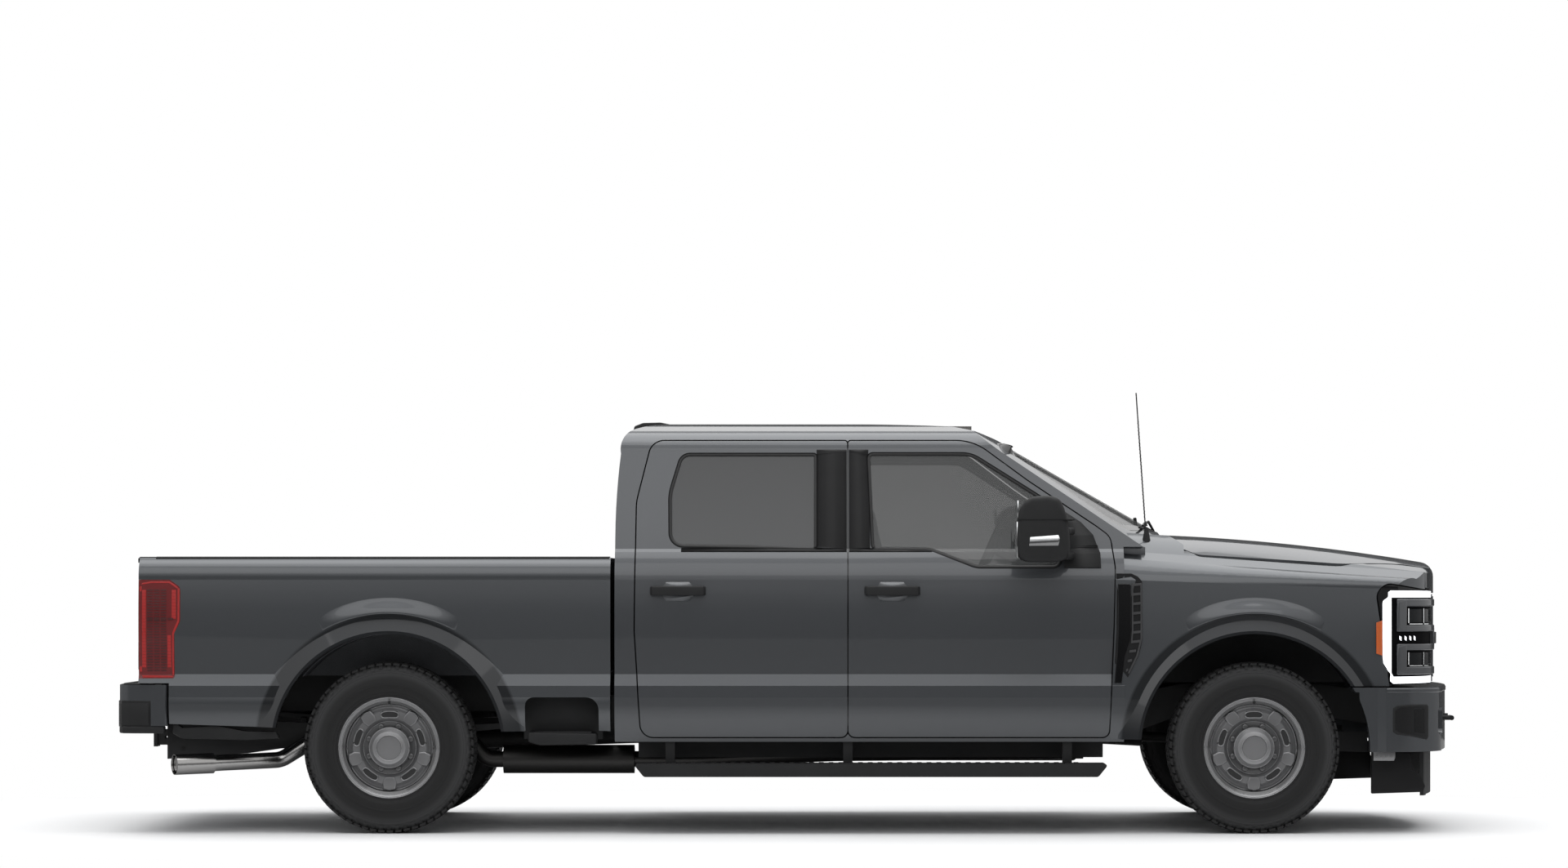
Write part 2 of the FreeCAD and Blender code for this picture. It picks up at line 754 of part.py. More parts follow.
# Grille and headlamps on the same envelope


def clip_layer(front, back, low, high):
    """The layer of the nose between two depths behind its surface."""
    layer = nose_plan(front, SIDE_Y, low, high).cut(nose_plan(back, SIDE_Y, low - 5, high + 5))
    return layer.common(block(NOSE_X - 700, FRONT_X, -OUT_Y, OUT_Y, low, high))


GRILLE_HALF = 634
GRILLE_DEPTH = 84
LAMP_DEPTH = 120
GRILLE_LOW = 704
GRILLE_TOP = HOOD_FRONT_Z - GAP
grille_band = [
    (-GRILLE_HALF, GRILLE_LOW + 40, 50),
    (-GRILLE_HALF + 70, GRILLE_LOW, 40),
    (GRILLE_HALF - 70, GRILLE_LOW, 40),
    (GRILLE_HALF, GRILLE_LOW + 40, 50),
    (GRILLE_HALF, GRILLE_TOP),
    (-GRILLE_HALF, GRILLE_TOP),
]
grille_hole = inset(grille_band, 42)
grille_zone = prism("yz", grille_band, NOSE_X - 400, FRONT_X)
ring = clip_layer(4, GRILLE_DEPTH, GRILLE_LOW, GRILLE_TOP).common(grille_zone)
ring = ring.cut(prism("yz", grille_hole, NOSE_X - 400, FRONT_X))
bars = []
BAR_HEIGHT = 52
for height, forward in ((806, 6), (913, -14), (1020, 6)):
    bar = clip_layer(forward, 70, height - BAR_HEIGHT / 2, height + BAR_HEIGHT / 2)
    bars.append(bar.common(grille_zone))
for side in (-1, 1):
    post = clip_layer(0, 70, GRILLE_LOW + 20, GRILLE_TOP - 10)
    bars.append(post.common(block(NOSE_X - 400, FRONT_X, side * 330 - 24, side * 330 + 24, 0, 2000)))
back_plate = clip_layer(GRILLE_DEPTH - 8, GRILLE_DEPTH, GRILLE_LOW + 20, GRILLE_TOP - 10).common(grille_zone)
feature("grille", ring.fuse(bars + [back_plate]).removeSplitter())

LAMP_OUTLINE = [
    (LAMP_REAR_LOW_X, LAMP_LOW_Z + GAP, 20),
    (FRONT_X, LAMP_LOW_Z + GAP),
    (FRONT_X, HOOD_FRONT_Z + 80),
    (LAMP_REAR_TOP_X + 240, LAMP_TOP_Z - 26),
    (LAMP_REAR_TOP_X + 40, LAMP_TOP_Z + 6, 55),
    (LAMP_REAR_TOP_X, LAMP_TOP_Z - 40, 55),
]
lamp = clip_outer.cut(nose_plan(LAMP_DEPTH, SIDE_Y, 0, 2000))
lamp = lamp.common(prism("xz", LAMP_OUTLINE, GRILLE_HALF + 4, OUT_Y))
lamp = lamp.cut(prism("xy", inset(HOOD_PLAN, -GAP), HOOD_FRONT_Z - GAP, 1600))
lamp = max(lamp.cut(crown_trim).Solids, key=lambda solid: solid.Volume)
feature("headlamps", Part.makeCompound([lamp, mirrored(lamp)]))

# Front bumper and air dam

BUMPER_LOW = 384
BUMPER_TOP = LAMP_LOW_Z - GAP
BUMPER_REACH = FRONT_X - NOSE_X
bumper = nose_plan(-BUMPER_REACH, SIDE_Y - 50, BUMPER_LOW, BUMPER_TOP)
bumper = bumper.cut(nose_plan(10, SIDE_Y - 50, BUMPER_LOW - 10, BUMPER_TOP - 22))
bumper = bumper.cut(nose_plan(150, SIDE_Y - 50, BUMPER_LOW - 10, BUMPER_TOP + 10))
bumper = bumper.common(block(FRONT_AXLE_X + 380, FRONT_X, -1020, 1020, BUMPER_LOW, BUMPER_TOP))
bumper = bumper.cut(both_sides(cylinder_y(size("arch_radius") + 2, FRONT_AXLE_X, AXLE_Z, 300, OUT_Y)))
intake = prism("yz", [
    (-420, 440, 30),
    (420, 440, 30),
    (360, 560, 30),
    (-360, 560, 30),
], NOSE_X - 200, FRONT_X + 50)
fog_hole = prism("yz", [
    (640, 460, 25),
    (860, 460, 25),
    (860, 590, 25),
    (640, 590, 25),
], NOSE_X - 600, FRONT_X + 50)
hook_hole = prism("yz", [
    (440, 505, 12),
    (500, 505, 12),
    (500, 570, 12),
    (440, 570, 12),
], NOSE_X - 200, FRONT_X + 50)
bumper = bumper.cut([intake, fog_hole, mirrored(fog_hole), hook_hole, mirrored(hook_hole)])
feature("front_bumper", max(bumper.Solids, key=lambda solid: solid.Volume))

dam = nose_plan(10, SIDE_Y - 50, 170, BUMPER_LOW).cut(nose_plan(22, SIDE_Y - 50, 160, BUMPER_LOW + 10))
dam = dam.common(block(NOSE_X - 260, FRONT_X, -780, 780, 170, BUMPER_LOW))
feature("air_dam", dam)

# Bed: floor, walls, sides and tailgate

BED_WALL = size("bed_wall")
BED_INNER_FRONT_X = BED_FRONT_X - BED_WALL
BED_INNER_REAR_X = BED_INNER_FRONT_X - size("bed_length")
BED_REAR_X = BED_INNER_REAR_X - size("tailgate_open_gap") - size("tailgate_thickness")
BED_FLOOR_Z = size("bed_floor_height")
BED_UNDER_Z = BED_FLOOR_Z - size("bed_floor_thickness")
BED_TOP_Z = size("bed_rail_height")
BED_Y = size("bed_half_width")
BED_SKIN = 14
LAMP_INNER_Y = SIDE_Y - 96
JAMB_Y = LAMP_INNER_Y + 10
GATE_Y = LAMP_INNER_Y - 12 - GAP
REAR_BUMPER_TOP = 698
REAR_BUMPER_LOW = 505

side_start = (BED_Y, 470)
bed_section_steps = [
    [(SIDE_Y - 52, 470)],
    *lower_side(0)[0:3],
    [(SIDE_Y - 13, (CREASE_Z + SHOULDER_Z) / 2), (SIDE_Y - 20, SHOULDER_Z)],
    [(SIDE_Y - 28, BED_TOP_Z - 45), (SIDE_Y - 52, BED_TOP_Z - 12)],
    [(SIDE_Y - 60, BED_TOP_Z)],
    [(BED_Y - 14, BED_TOP_Z)],
    [(BED_Y - 14, BED_TOP_Z - 60)],
    [(BED_Y, BED_TOP_Z - 70)],
]
side_block = curved_prism("yz", side_start, bed_section_steps, BED_REAR_X, BED_FRONT_X)
side_cavity = curved_prism("yz", (BED_Y + 12, 400), [
    [(SIDE_Y - 52 - BED_SKIN, 400)],
    *lower_side(BED_SKIN)[0:3],
    [(SIDE_Y - 13 - BED_SKIN, (CREASE_Z + SHOULDER_Z) / 2), (SIDE_Y - 20 - BED_SKIN, SHOULDER_Z)],
    [(SIDE_Y - 50, BED_TOP_Z - 26)],
    [(BED_Y + 12, BED_TOP_Z - 26)],
], BED_REAR_X + 30, BED_FRONT_X - 14)
jamb = block(BED_REAR_X, BED_INNER_REAR_X + 10, 0, JAMB_Y, 0, 2000)
side_cavity = side_cavity.cut(jamb)
inner_low = block(BED_REAR_X - 10, BED_FRONT_X + 10, BED_Y - 20, BED_Y + 12, 300, BED_UNDER_Z)
bed_side = side_block.cut(side_cavity).cut(inner_low)
BED_SIDE_OUTLINE = [
    (BED_REAR_X - 5, 520, 40),
    (REAR_AXLE_X, 480),
    (REAR_AXLE_X + 300, size("rocker_bottom") + 50),
    (BED_FRONT_X + 5, size("rocker_bottom") + 50),
    (BED_FRONT_X + 5, BED_TOP_Z + 10),
    (BED_REAR_X - 5, BED_TOP_Z + 10),
]
bed_side = bed_side.common(prism("xz", BED_SIDE_OUTLINE, 500, OUT_Y))
step_recess = prism("xz", [
    (REAR_AXLE_X + 640, 400),
    (REAR_AXLE_X + 640, 640, 40),
    (REAR_AXLE_X + 985, 640, 60),
    (REAR_AXLE_X + 985, 400),
], SIDE_Y - 120, OUT_Y)
rear_lip = flare(REAR_AXLE_X, SIDE_Y - 28).common(prism("xz", BED_SIDE_OUTLINE, 500, OUT_Y))
bed_side = bed_side.fuse(rear_lip)
bed_side = bed_side.cut(arch_hole(REAR_AXLE_X))
bed_side = bed_side.cut(step_recess)
bed_side = bed_side.cut(block(BED_REAR_X - 10, BED_INNER_REAR_X, 0, GATE_Y + GAP, 0, 2000))
bed_side = bed_side.cut(block(BED_REAR_X - 10, REAR_X + 258, 0, OUT_Y, 0, REAR_BUMPER_TOP + 8))
TAIL_LAMP = [
    (BED_REAR_X - 30, 728),
    (BED_REAR_X + 169, 728, 10),
    (BED_REAR_X + 169, 942, 25),
    (BED_REAR_X + 196, 996, 30),
    (BED_REAR_X + 196, 1156, 30),
    (BED_REAR_X + 146, 1191, 12),
    (BED_REAR_X - 30, 1191),
]
lamp_zone = prism("xz", TAIL_LAMP, LAMP_INNER_Y, OUT_Y)
tail_lamp = side_block.common(lamp_zone)
bed_side = bed_side.cut(prism("xz", inset(TAIL_LAMP, -0.3), LAMP_INNER_Y - 0.3, OUT_Y))
bed_side = max(bed_side.Solids, key=lambda solid: solid.Volume)
GATE_PIN_X = BED_REAR_X + 36
GATE_PIN_Z = BED_FLOOR_Z - 16
GATE_PIN = 5
bed_side = bed_side.fuse(cylinder_y(GATE_PIN, GATE_PIN_X, GATE_PIN_Z, GATE_Y - 18, LAMP_INNER_Y - 4))
feature("bed_sides", Part.makeCompound([bed_side, mirrored(bed_side)]))
feature("tail_lamps", Part.makeCompound([tail_lamp, mirrored(tail_lamp)]))

HOUSE_RADIUS = size("arch_radius") - 85
floor = block(BED_INNER_REAR_X, BED_FRONT_X, -BED_Y, BED_Y, BED_UNDER_Z, BED_FLOOR_Z)
groove_pitch = 118
for i in range(-5, 6):
    middle = i * groove_pitch
    floor = floor.cut(block(BED_INNER_REAR_X - 1, BED_INNER_FRONT_X - 60, middle - 26, middle + 26,
                            BED_FLOOR_Z - 8, BED_FLOOR_Z + 1))
front_wall = block(BED_INNER_FRONT_X, BED_FRONT_X - 10, -BED_Y, BED_Y, BED_FLOOR_Z, BED_TOP_Z - 20)
front_cap = block(BED_INNER_FRONT_X - 20, BED_FRONT_X, -BED_Y + 14, BED_Y - 14, BED_TOP_Z - 20,
                  BED_TOP_Z)
house = cylinder_y(HOUSE_RADIUS + 90, REAR_AXLE_X, AXLE_Z, size("wheelhouse_half_gap"), BED_Y)
house = house.common(block(REAR_AXLE_X - 900, REAR_AXLE_X + 900, 0, BED_Y, BED_UNDER_Z, 2000))
hollow = cylinder_y(HOUSE_RADIUS + 82, REAR_AXLE_X, AXLE_Z, size("wheelhouse_half_gap") + 8, BED_Y + 1)
bed_box = floor.fuse([front_wall, front_cap, house, mirrored(house)])
bed_box = bed_box.cut([hollow, mirrored(hollow)]).removeSplitter()
bed_box = bed_box.cut([bed_side, mirrored(bed_side)])
feature("bed_box", bed_box)

GATE_LOW = BED_FLOOR_Z - 24
gate_front = BED_INNER_REAR_X - size("tailgate_open_gap")
tailgate = prism("xz", [
    (gate_front, GATE_LOW, 8),
    (gate_front, BED_TOP_Z - 2, 12),
    (BED_REAR_X - 6, BED_TOP_Z - 2, 14),
    (BED_REAR_X - 10, BED_TOP_Z - 50, 12),
    (BED_REAR_X + 8, BED_TOP_Z - 110, 30),
    (BED_REAR_X, 1040, 200),
    (BED_REAR_X, GATE_LOW, 10),
], -GATE_Y, GATE_Y)
step = block(gate_front - 10, gate_front + 20, BED_Y - 4, 1000, 0, 2000)
tailgate = tailgate.cut([step, mirrored(step)])
gate_handle = prism("yz", [
    (-110, BED_TOP_Z - 190, 18),
    (110, BED_TOP_Z - 190, 18),
    (110, BED_TOP_Z - 110, 18),
    (-110, BED_TOP_Z - 110, 18),
], BED_REAR_X - 20, BED_REAR_X + 26)
tailgate = tailgate.cut(gate_handle)
pin_hole = cylinder_y(GATE_PIN + 0.3, GATE_PIN_X, GATE_PIN_Z, GATE_Y - 21, GATE_Y + 5)
tailgate = tailgate.cut([pin_hole, mirrored(pin_hole)])
feature("tailgate", tailgate)

# Rear bumper with a step each side, and the hitch receiver on the frame

FRAME_Y = size("frame_half_width")

bumper_plan = [
    (REAR_X, -760, 60),
    (REAR_X + 20, -960, 70),
    (REAR_X + 250, -1000, 20),
    (REAR_X + 250, -925),
    (REAR_X + 140, -900, 40),
    (REAR_X + 125, 0),
    (REAR_X + 140, 900, 40),
    (REAR_X + 250, 925),
    (REAR_X + 250, 1000, 20),
    (REAR_X + 20, 960, 70),
    (REAR_X, 760, 60),
]
rear_bumper = prism("xy", bumper_plan, REAR_BUMPER_LOW, REAR_BUMPER_TOP)
bumper_core = prism("xy", inset(bumper_plan, 14), REAR_BUMPER_LOW - 10, REAR_BUMPER_TOP - 14)
rear_bumper = rear_bumper.cut(bumper_core)
plate_well = block(REAR_X - 10, REAR_X + 60, -165, 165, REAR_BUMPER_LOW + 30, REAR_BUMPER_TOP - 14)
rear_bumper = rear_bumper.cut(plate_well)
ball = Part.makeCylinder(size("ball_hole") / 2, 60, Vector(REAR_X + 62, 0, REAR_BUMPER_TOP - 40))
rear_bumper = rear_bumper.cut(ball)
feature("rear_bumper", max(rear_bumper.Solids, key=lambda solid: solid.Volume))

BORE = size("receiver_bore")
TUBE = BORE + 2 * size("receiver_wall")
HITCH_Z = size("receiver_height")
tube_length = 300
HITCH_X = REAR_X + 40
receiver = block(HITCH_X, HITCH_X + tube_length, -TUBE / 2, TUBE / 2, HITCH_Z - TUBE / 2, HITCH_Z + TUBE / 2)
receiver = receiver.fuse(block(HITCH_X, HITCH_X + 18, -TUBE / 2 - 8, TUBE / 2 + 8, HITCH_Z - TUBE / 2 - 8,
                               HITCH_Z + TUBE / 2 + 8))
cross_tube = cylinder_y(32, HITCH_X + 230, HITCH_Z, -FRAME_Y - 8, FRAME_Y + 8)
arm = prism("xz", [
    (HITCH_X + 180, HITCH_Z - 40, 20),
    (HITCH_X + 290, HITCH_Z - 40, 20),
    (HITCH_X + 420, 545, 10),
    (HITCH_X + 420, 690, 10),
    (HITCH_X + 160, 690, 10),
], size("frame_half_width"), size("frame_half_width") + 8)
receiver = receiver.fuse([cross_tube, arm, mirrored(arm)])
receiver = receiver.cut(block(HITCH_X - 1, HITCH_X + tube_length + 1, -BORE / 2, BORE / 2,
                              HITCH_Z - BORE / 2, HITCH_Z + BORE / 2))
pin = cylinder_y(size("hitch_pin_hole") / 2, HITCH_X + 60, HITCH_Z, -TUBE, TUBE)
feature("hitch_receiver", receiver.cut(pin))

# Frame rails with cross tubes and tow hooks

CROSS_TUBE = 34
SUPPORT_TUBE_Z = 570
RAIL_TOP = size("rail_top")
RAIL_LOW = RAIL_TOP - size("rail_height")
rail_points = [
    (REAR_X + 200, BED_UNDER_Z - 170, 10),
    (REAR_AXLE_X - 450, BED_UNDER_Z - 175, 200),
    (REAR_AXLE_X + 450, BED_UNDER_Z - 175, 200),
    (REAR_AXLE_X + 850, RAIL_LOW, 200),
    (FRONT_AXLE_X - 560, RAIL_LOW, 150),
    (FRONT_AXLE_X - 300, RAIL_LOW + 95, 150),
    (FRONT_AXLE_X + 350, RAIL_LOW + 95, 150),
    (FRONT_AXLE_X + 600, 500, 100),
    (NOSE_X - 90, 500, 5),
    (NOSE_X - 90, 640, 5),
    (FRONT_AXLE_X + 650, 650, 100),
    (FRONT_AXLE_X + 350, 690, 150),
    (FRONT_AXLE_X - 300, 690, 150),
    (FRONT_AXLE_X - 560, RAIL_TOP, 100),
    (REAR_AXLE_X + 850, RAIL_TOP, 200),
    (REAR_AXLE_X + 600, BED_UNDER_Z, 150),
    (REAR_X + 200, BED_UNDER_Z, 10),
]
rail = prism("xz", rail_points, FRAME_Y - size("rail_width"), FRAME_Y)
channel = prism("xz", inset(rail_points, size("rail_wall")), FRAME_Y - size("rail_width") - 1,
                FRAME_Y - size("rail_wall"))
rail = rail.cut(channel)
frame_pieces = [rail, mirrored(rail)]
for x, z in (
    (REAR_X + 480, 640),
    (REAR_AXLE_X - 480, 640),
    (REAR_AXLE_X + 420, 640),
    (REAR_AXLE_X + 1150, 540),
    (0, 540),
    (FRONT_AXLE_X - 1000, 540),
    (NOSE_X - 295, SUPPORT_TUBE_Z),
):
    frame_pieces.append(cylinder_y(CROSS_TUBE, x, z, -FRAME_Y + 3, FRAME_Y - 3))
rear_stay = block(REAR_X + 132.5, REAR_X + 206, FRAME_Y - 70, FRAME_Y, 590, 660)
front_stay = block(NOSE_X - 96, NOSE_X, FRAME_Y - 70, FRAME_Y, 510, 630)
front_stay = front_stay.common(nose_plan(10.3, SIDE_Y - 50, 400, 700))
frame_pieces += [rear_stay, mirrored(rear_stay), front_stay, mirrored(front_stay)]
for x in (CAB_REAR_X + 120, DOOR_SPLIT_X, DOOR_FRONT_X - 120):
    mount = Part.makeCylinder(38, size("floor_bottom") - RAIL_TOP, Vector(x, FRAME_Y - 35, RAIL_TOP))
    frame_pieces += [mount, mirrored(mount)]
hook = prism("xy", [
    (NOSE_X - 150, FRAME_Y - 2, 4),
    (NOSE_X - 60, FRAME_Y + 13, 4),
    (FRONT_X - 25, FRAME_Y + 13, 24),
    (FRONT_X - 25, FRAME_Y + 67, 24),
    (NOSE_X - 60, FRAME_Y + 67, 4),
    (NOSE_X - 150, FRAME_Y + 30, 4),
], 524, 550)
hook = hook.cut(block(FRONT_X - 105, FRONT_X - 47, FRAME_Y + 28, FRAME_Y + 52, 500, 600))
frame_pieces += [hook, mirrored(hook)]
frame = frame_pieces[0].fuse(frame_pieces[1:]).removeSplitter()
feature("frame", frame)

# Wheels: each tyre and rim is revolved about its own axis and then placed


def revolved_body(label, points, place, holes=None):
    """A body turned from a sketch of radius against width, placed at a wheel."""
    body = doc.addObject("PartDesign::Body", label)
    sketch = body.newObject("Sketcher::SketchObject", label + "_profile")
    plane = [f for f in body.Origin.OriginFeatures if f.Role == "XY_Plane"][0]
    sketch.AttachmentSupport = [(plane, "")]
    sketch.MapMode = "FlatFace"
    count = len(points)
    for i in range(count):
        sketch.addGeometry(
            Part.LineSegment(Vector(*points[i][:2], 0), Vector(*points[(i + 1) % count][:2], 0)), False
        )
    for i in range(count):
        sketch.addConstraint(Sketcher.Constraint("Coincident", i, 2, (i + 1) % count, 1))
    turn = body.newObject("PartDesign::Revolution", label + "_turned")
    turn.Profile = sketch
    turn.ReferenceAxis = (sketch, ["V_Axis"])
    turn.Angle = 360
    if holes:
        doc.recompute()
        plane = [f for f in body.Origin.OriginFeatures if f.Role == "XZ_Plane"][0]
        cut_sketch = body.newObject("Sketcher::SketchObject", label + "_slot")
        cut_sketch.AttachmentSupport = [(plane, "")]
        cut_sketch.MapMode = "FlatFace"
        for i, (a, b) in enumerate(zip(holes, holes[1:] + holes[:1])):
            cut_sketch.addGeometry(Part.LineSegment(Vector(*a, 0), Vector(*b, 0)), False)
        for i in range(len(holes)):
            cut_sketch.addConstraint(
                Sketcher.Constraint("Coincident", i, 2, (i + 1) % len(holes), 1)
            )
        pocket = body.newObject("PartDesign::Pocket", label + "_slot_cut")
        pocket.Profile = cut_sketch
        pocket.Type = 1
        pocket.Midplane = True
        pocket.Length = 600
        doc.recompute()
        pattern = body.newObject("PartDesign::PolarPattern", label + "_slots")
        pattern.Originals = [pocket]
        pattern.Axis = (sketch, ["V_Axis"])
        pattern.Angle = 360
        pattern.setExpression("Occurrences", "Sizes.slot_count")
        body.Tip = pattern
    body.Placement = place
    return keep(label, body)


R = size("tyre_radius")
RIM = size("rim_radius")
HALF = size("tyre_width") / 2
LIP = size("rim_width") / 2
BEAD = RIM - 22
TYRE_PROFILE = [
    (BEAD + size("bead_gap"), -LIP + 14),
    (RIM + 6, -LIP + 2),
    (RIM + 50, -HALF + 4),
    (RIM + 92, -HALF),
    (R - 48, -HALF + 6),
    (R - 18, -HALF + 20),
    (R - 4, -HALF + 42),
    (R, -HALF + 80),
    (R, HALF - 80),
    (R - 4, HALF - 42),
    (R - 18, HALF - 20),
    (R - 48, HALF - 6),
    (RIM + 92, HALF),
    (RIM + 50, HALF - 4),
    (RIM + 6, LIP - 2),
    (BEAD + size("bead_gap"), LIP - 14),
]
OFFSET = size("disc_offset")
RIM_PROFILE = [
    (RIM, -LIP - 6),
    (RIM, -LIP + 1.5),
    (BEAD, -LIP + 13.5),
    (BEAD, -LIP + 44),
    (BEAD - 22, -LIP + 60),
    (BEAD - 22, OFFSET - 30),
    (BEAD, OFFSET - 12),
    (BEAD, LIP - 13.5),
    (RIM, LIP - 1.5),
    (RIM, LIP + 6),
    (RIM - 8, LIP + 6),
    (BEAD - 9, LIP - 10),
    (BEAD - 10, OFFSET + 2),
    (196, OFFSET + 4),
    (186, OFFSET + 8),
    (172, OFFSET + 18),
    (140, OFFSET + 18),
    (126, OFFSET + 6),
    (size("hub_radius") + 6, OFFSET + 2),
    (size("hub_radius") + 2, OFFSET + 34),
    (size("hub_radius") - 14, OFFSET + 52),
    (58, OFFSET + 56),
    (56, OFFSET + 50),
    (0, OFFSET + 50),
    (0, OFFSET - 10),
    (126, OFFSET - 10),
    (150, OFFSET - 2),
    (190, OFFSET - 12),
    (BEAD - 31, OFFSET - 34),
    (BEAD - 31, -LIP + 58),
    (BEAD - 9, -LIP + 42),
    (BEAD - 9, -LIP + 10),
    (RIM - 8, -LIP - 6),
]
SLOT = [(-42, 142), (42, 142), (36, 171), (-36, 171)]
WHEELS = (
    ("front_left", FRONT_AXLE_X, size("track_front") / 2),
    ("front_right", FRONT_AXLE_X, -size("track_front") / 2),
    ("rear_left", REAR_AXLE_X, size("track_rear") / 2),
    ("rear_right", REAR_AXLE_X, -size("track_rear") / 2),
)
for name, x, y in WHEELS:
    turn = FreeCAD.Rotation(Vector(0, 0, 1), 0 if y > 0 else 180)
    place = FreeCAD.Placement(Vector(x, y, AXLE_Z), turn)
    revolved_body("tyre_" + name, TYRE_PROFILE, place)
    revolved_body("rim_" + name, RIM_PROFILE, place, SLOT)

# Axles, knuckles and hubs

TUBE_R = size("axle_tube_radius")
KING_Y = size("kingpin_half_width")
HUB_FACE = OFFSET - 10.5
rear_face = size("track_rear") / 2 + HUB_FACE
front_face = size("track_front") / 2 + HUB_FACE
half_axle = cylinder_y(TUBE_R, REAR_AXLE_X, AXLE_Z, 0, 735)
hub = cylinder_y(70, REAR_AXLE_X, AXLE_Z, 800, rear_face)
disc = cylinder_y(170, REAR_AXLE_X, AXLE_Z, 780, 800)
flange = cylinder_y(60, REAR_AXLE_X, AXLE_Z, 735, 781)
rear_axle = half_axle.fuse([hub, disc, flange])
rear_axle = rear_axle.fuse(mirrored(rear_axle))
housing = Part.makeSphere(165, Vector(0, 0, 0))
housing = housing.common(block(-125, 125, -165, 165, -150, 165))
housing.translate(Vector(REAR_AXLE_X, 0, AXLE_Z))
nose = Part.makeCone(110, 60, 150, Vector(REAR_AXLE_X + 90, 0, AXLE_Z), Vector(1, 0, 0))
rear_axle = rear_axle.fuse([housing, nose]).removeSplitter()
feature("rear_axle", rear_axle)

DIFF_Y = 240
YOKE = 116
half_front = cylinder_y(TUBE_R, FRONT_AXLE_X, AXLE_Z, 0, KING_Y - 75)
yoke = block(FRONT_AXLE_X - 34, FRONT_AXLE_X + 34, KING_Y - 92, KING_Y - 66, AXLE_Z - YOKE - 22,
             AXLE_Z + YOKE + 22)
for sign in (-1, 1):
    low = AXLE_Z + sign * (YOKE + 11) - 11
    arm = block(FRONT_AXLE_X - 30, FRONT_AXLE_X + 30, KING_Y - 70, KING_Y + 30, low, low + 22)
    yoke = yoke.fuse(arm)
yoke = yoke.cut(Part.makeCylinder(14.3, 400, Vector(FRONT_AXLE_X, KING_Y, AXLE_Z - 200)))
front_axle = half_front.fuse(yoke)
front_axle = front_axle.fuse(mirrored(front_axle))
housing = Part.makeSphere(150, Vector(0, 0, 0)).common(block(-110, 110, -150, 150, -135, 150))
housing.translate(Vector(FRONT_AXLE_X, DIFF_Y, AXLE_Z))
nose = Part.makeCone(60, 100, 120, Vector(FRONT_AXLE_X - 200, DIFF_Y, AXLE_Z), Vector(1, 0, 0))
front_axle = front_axle.fuse([housing, nose]).removeSplitter()
feature("front_axle", front_axle)

knuckle = Part.makeCylinder(30, 2 * (YOKE - 5), Vector(FRONT_AXLE_X, KING_Y, AXLE_Z - YOKE + 5))
king_pin = Part.makeCylinder(14, 2 * (YOKE + 22), Vector(FRONT_AXLE_X, KING_Y, AXLE_Z - YOKE - 22))
spindle = cylinder_y(68, FRONT_AXLE_X, AXLE_Z, KING_Y, front_face)
disc = cylinder_y(170, FRONT_AXLE_X, AXLE_Z, KING_Y + 48, KING_Y + 68)
caliper = block(FRONT_AXLE_X - 168, FRONT_AXLE_X - 100, KING_Y + 20, KING_Y + 66, AXLE_Z - 55, AXLE_Z + 55)
knuckle = knuckle.fuse([king_pin, spindle, disc, caliper]).removeSplitter()
feature("knuckle_left", knuckle)
feature("knuckle_right", mirrored(knuckle))

# Springs and shock absorbers

SPRING_Y = 550
SPRING_Z = AXLE_Z + TUBE_R
leaf = curved_prism("xz", (REAR_AXLE_X - 760, SPRING_Z + 72), [
    [(REAR_AXLE_X, SPRING_Z + 8), (REAR_AXLE_X + 700, SPRING_Z + 62)],
    [(REAR_AXLE_X + 700, SPRING_Z + 76)],
    [(REAR_AXLE_X, SPRING_Z + 48), (REAR_AXLE_X - 760, SPRING_Z + 88)],
], SPRING_Y - 38, SPRING_Y + 38)
pad = block(REAR_AXLE_X - 90, REAR_AXLE_X + 90, SPRING_Y - 45, SPRING_Y + 45, AXLE_Z + 20, SPRING_Z + 20)
hanger_y = SPRING_Y + 45
front_hanger = block(REAR_AXLE_X + 640, REAR_AXLE_X + 720, FRAME_Y, hanger_y, SPRING_Z + 60, SPRING_Z + 130)
rear_hanger = block(REAR_AXLE_X - 780, REAR_AXLE_X - 710, FRAME_Y, hanger_y, SPRING_Z + 70, SPRING_Z + 140)
leaf = leaf.fuse([pad.cut(cylinder_y(TUBE_R, REAR_AXLE_X, AXLE_Z, 0, 1000)), front_hanger, rear_hanger])
COIL_Y = 545
coil = Part.makeCylinder(62, 190, Vector(FRONT_AXLE_X, COIL_Y, SPRING_Z + 20))
coil_seat = block(FRONT_AXLE_X - 60, FRONT_AXLE_X + 60, COIL_Y - 60, COIL_Y + 60, AXLE_Z + 20, SPRING_Z + 22)
coil_seat = coil_seat.cut(cylinder_y(TUBE_R, FRONT_AXLE_X, AXLE_Z, 0, 1000))
tower = block(FRONT_AXLE_X - 75, FRONT_AXLE_X + 75, FRAME_Y, COIL_Y + 75, SPRING_Z + 205, SPRING_Z + 225)
coil = coil.fuse([coil_seat, tower])
springs = [leaf, mirrored(leaf), coil, mirrored(coil)]
feature("suspension", Part.makeCompound(springs))

# Drive line, engine, tank and exhaust


def rod(radius, start, stop):
    """A round bar between two points."""
    along_axis = stop.sub(start)
    return Part.makeCylinder(radius, along_axis.Length, start, along_axis)


engine = doc.addObject("Part::Box", "engine_block")
engine.setExpression("Length", "Sizes.engine_length")
engine.setExpression("Width", "Sizes.engine_width")
engine.setExpression("Height", "Sizes.engine_height")
engine.Placement.Base = Vector(FRONT_AXLE_X - 460, -size("engine_width") / 2, 585)
keep("engine_block", engine)

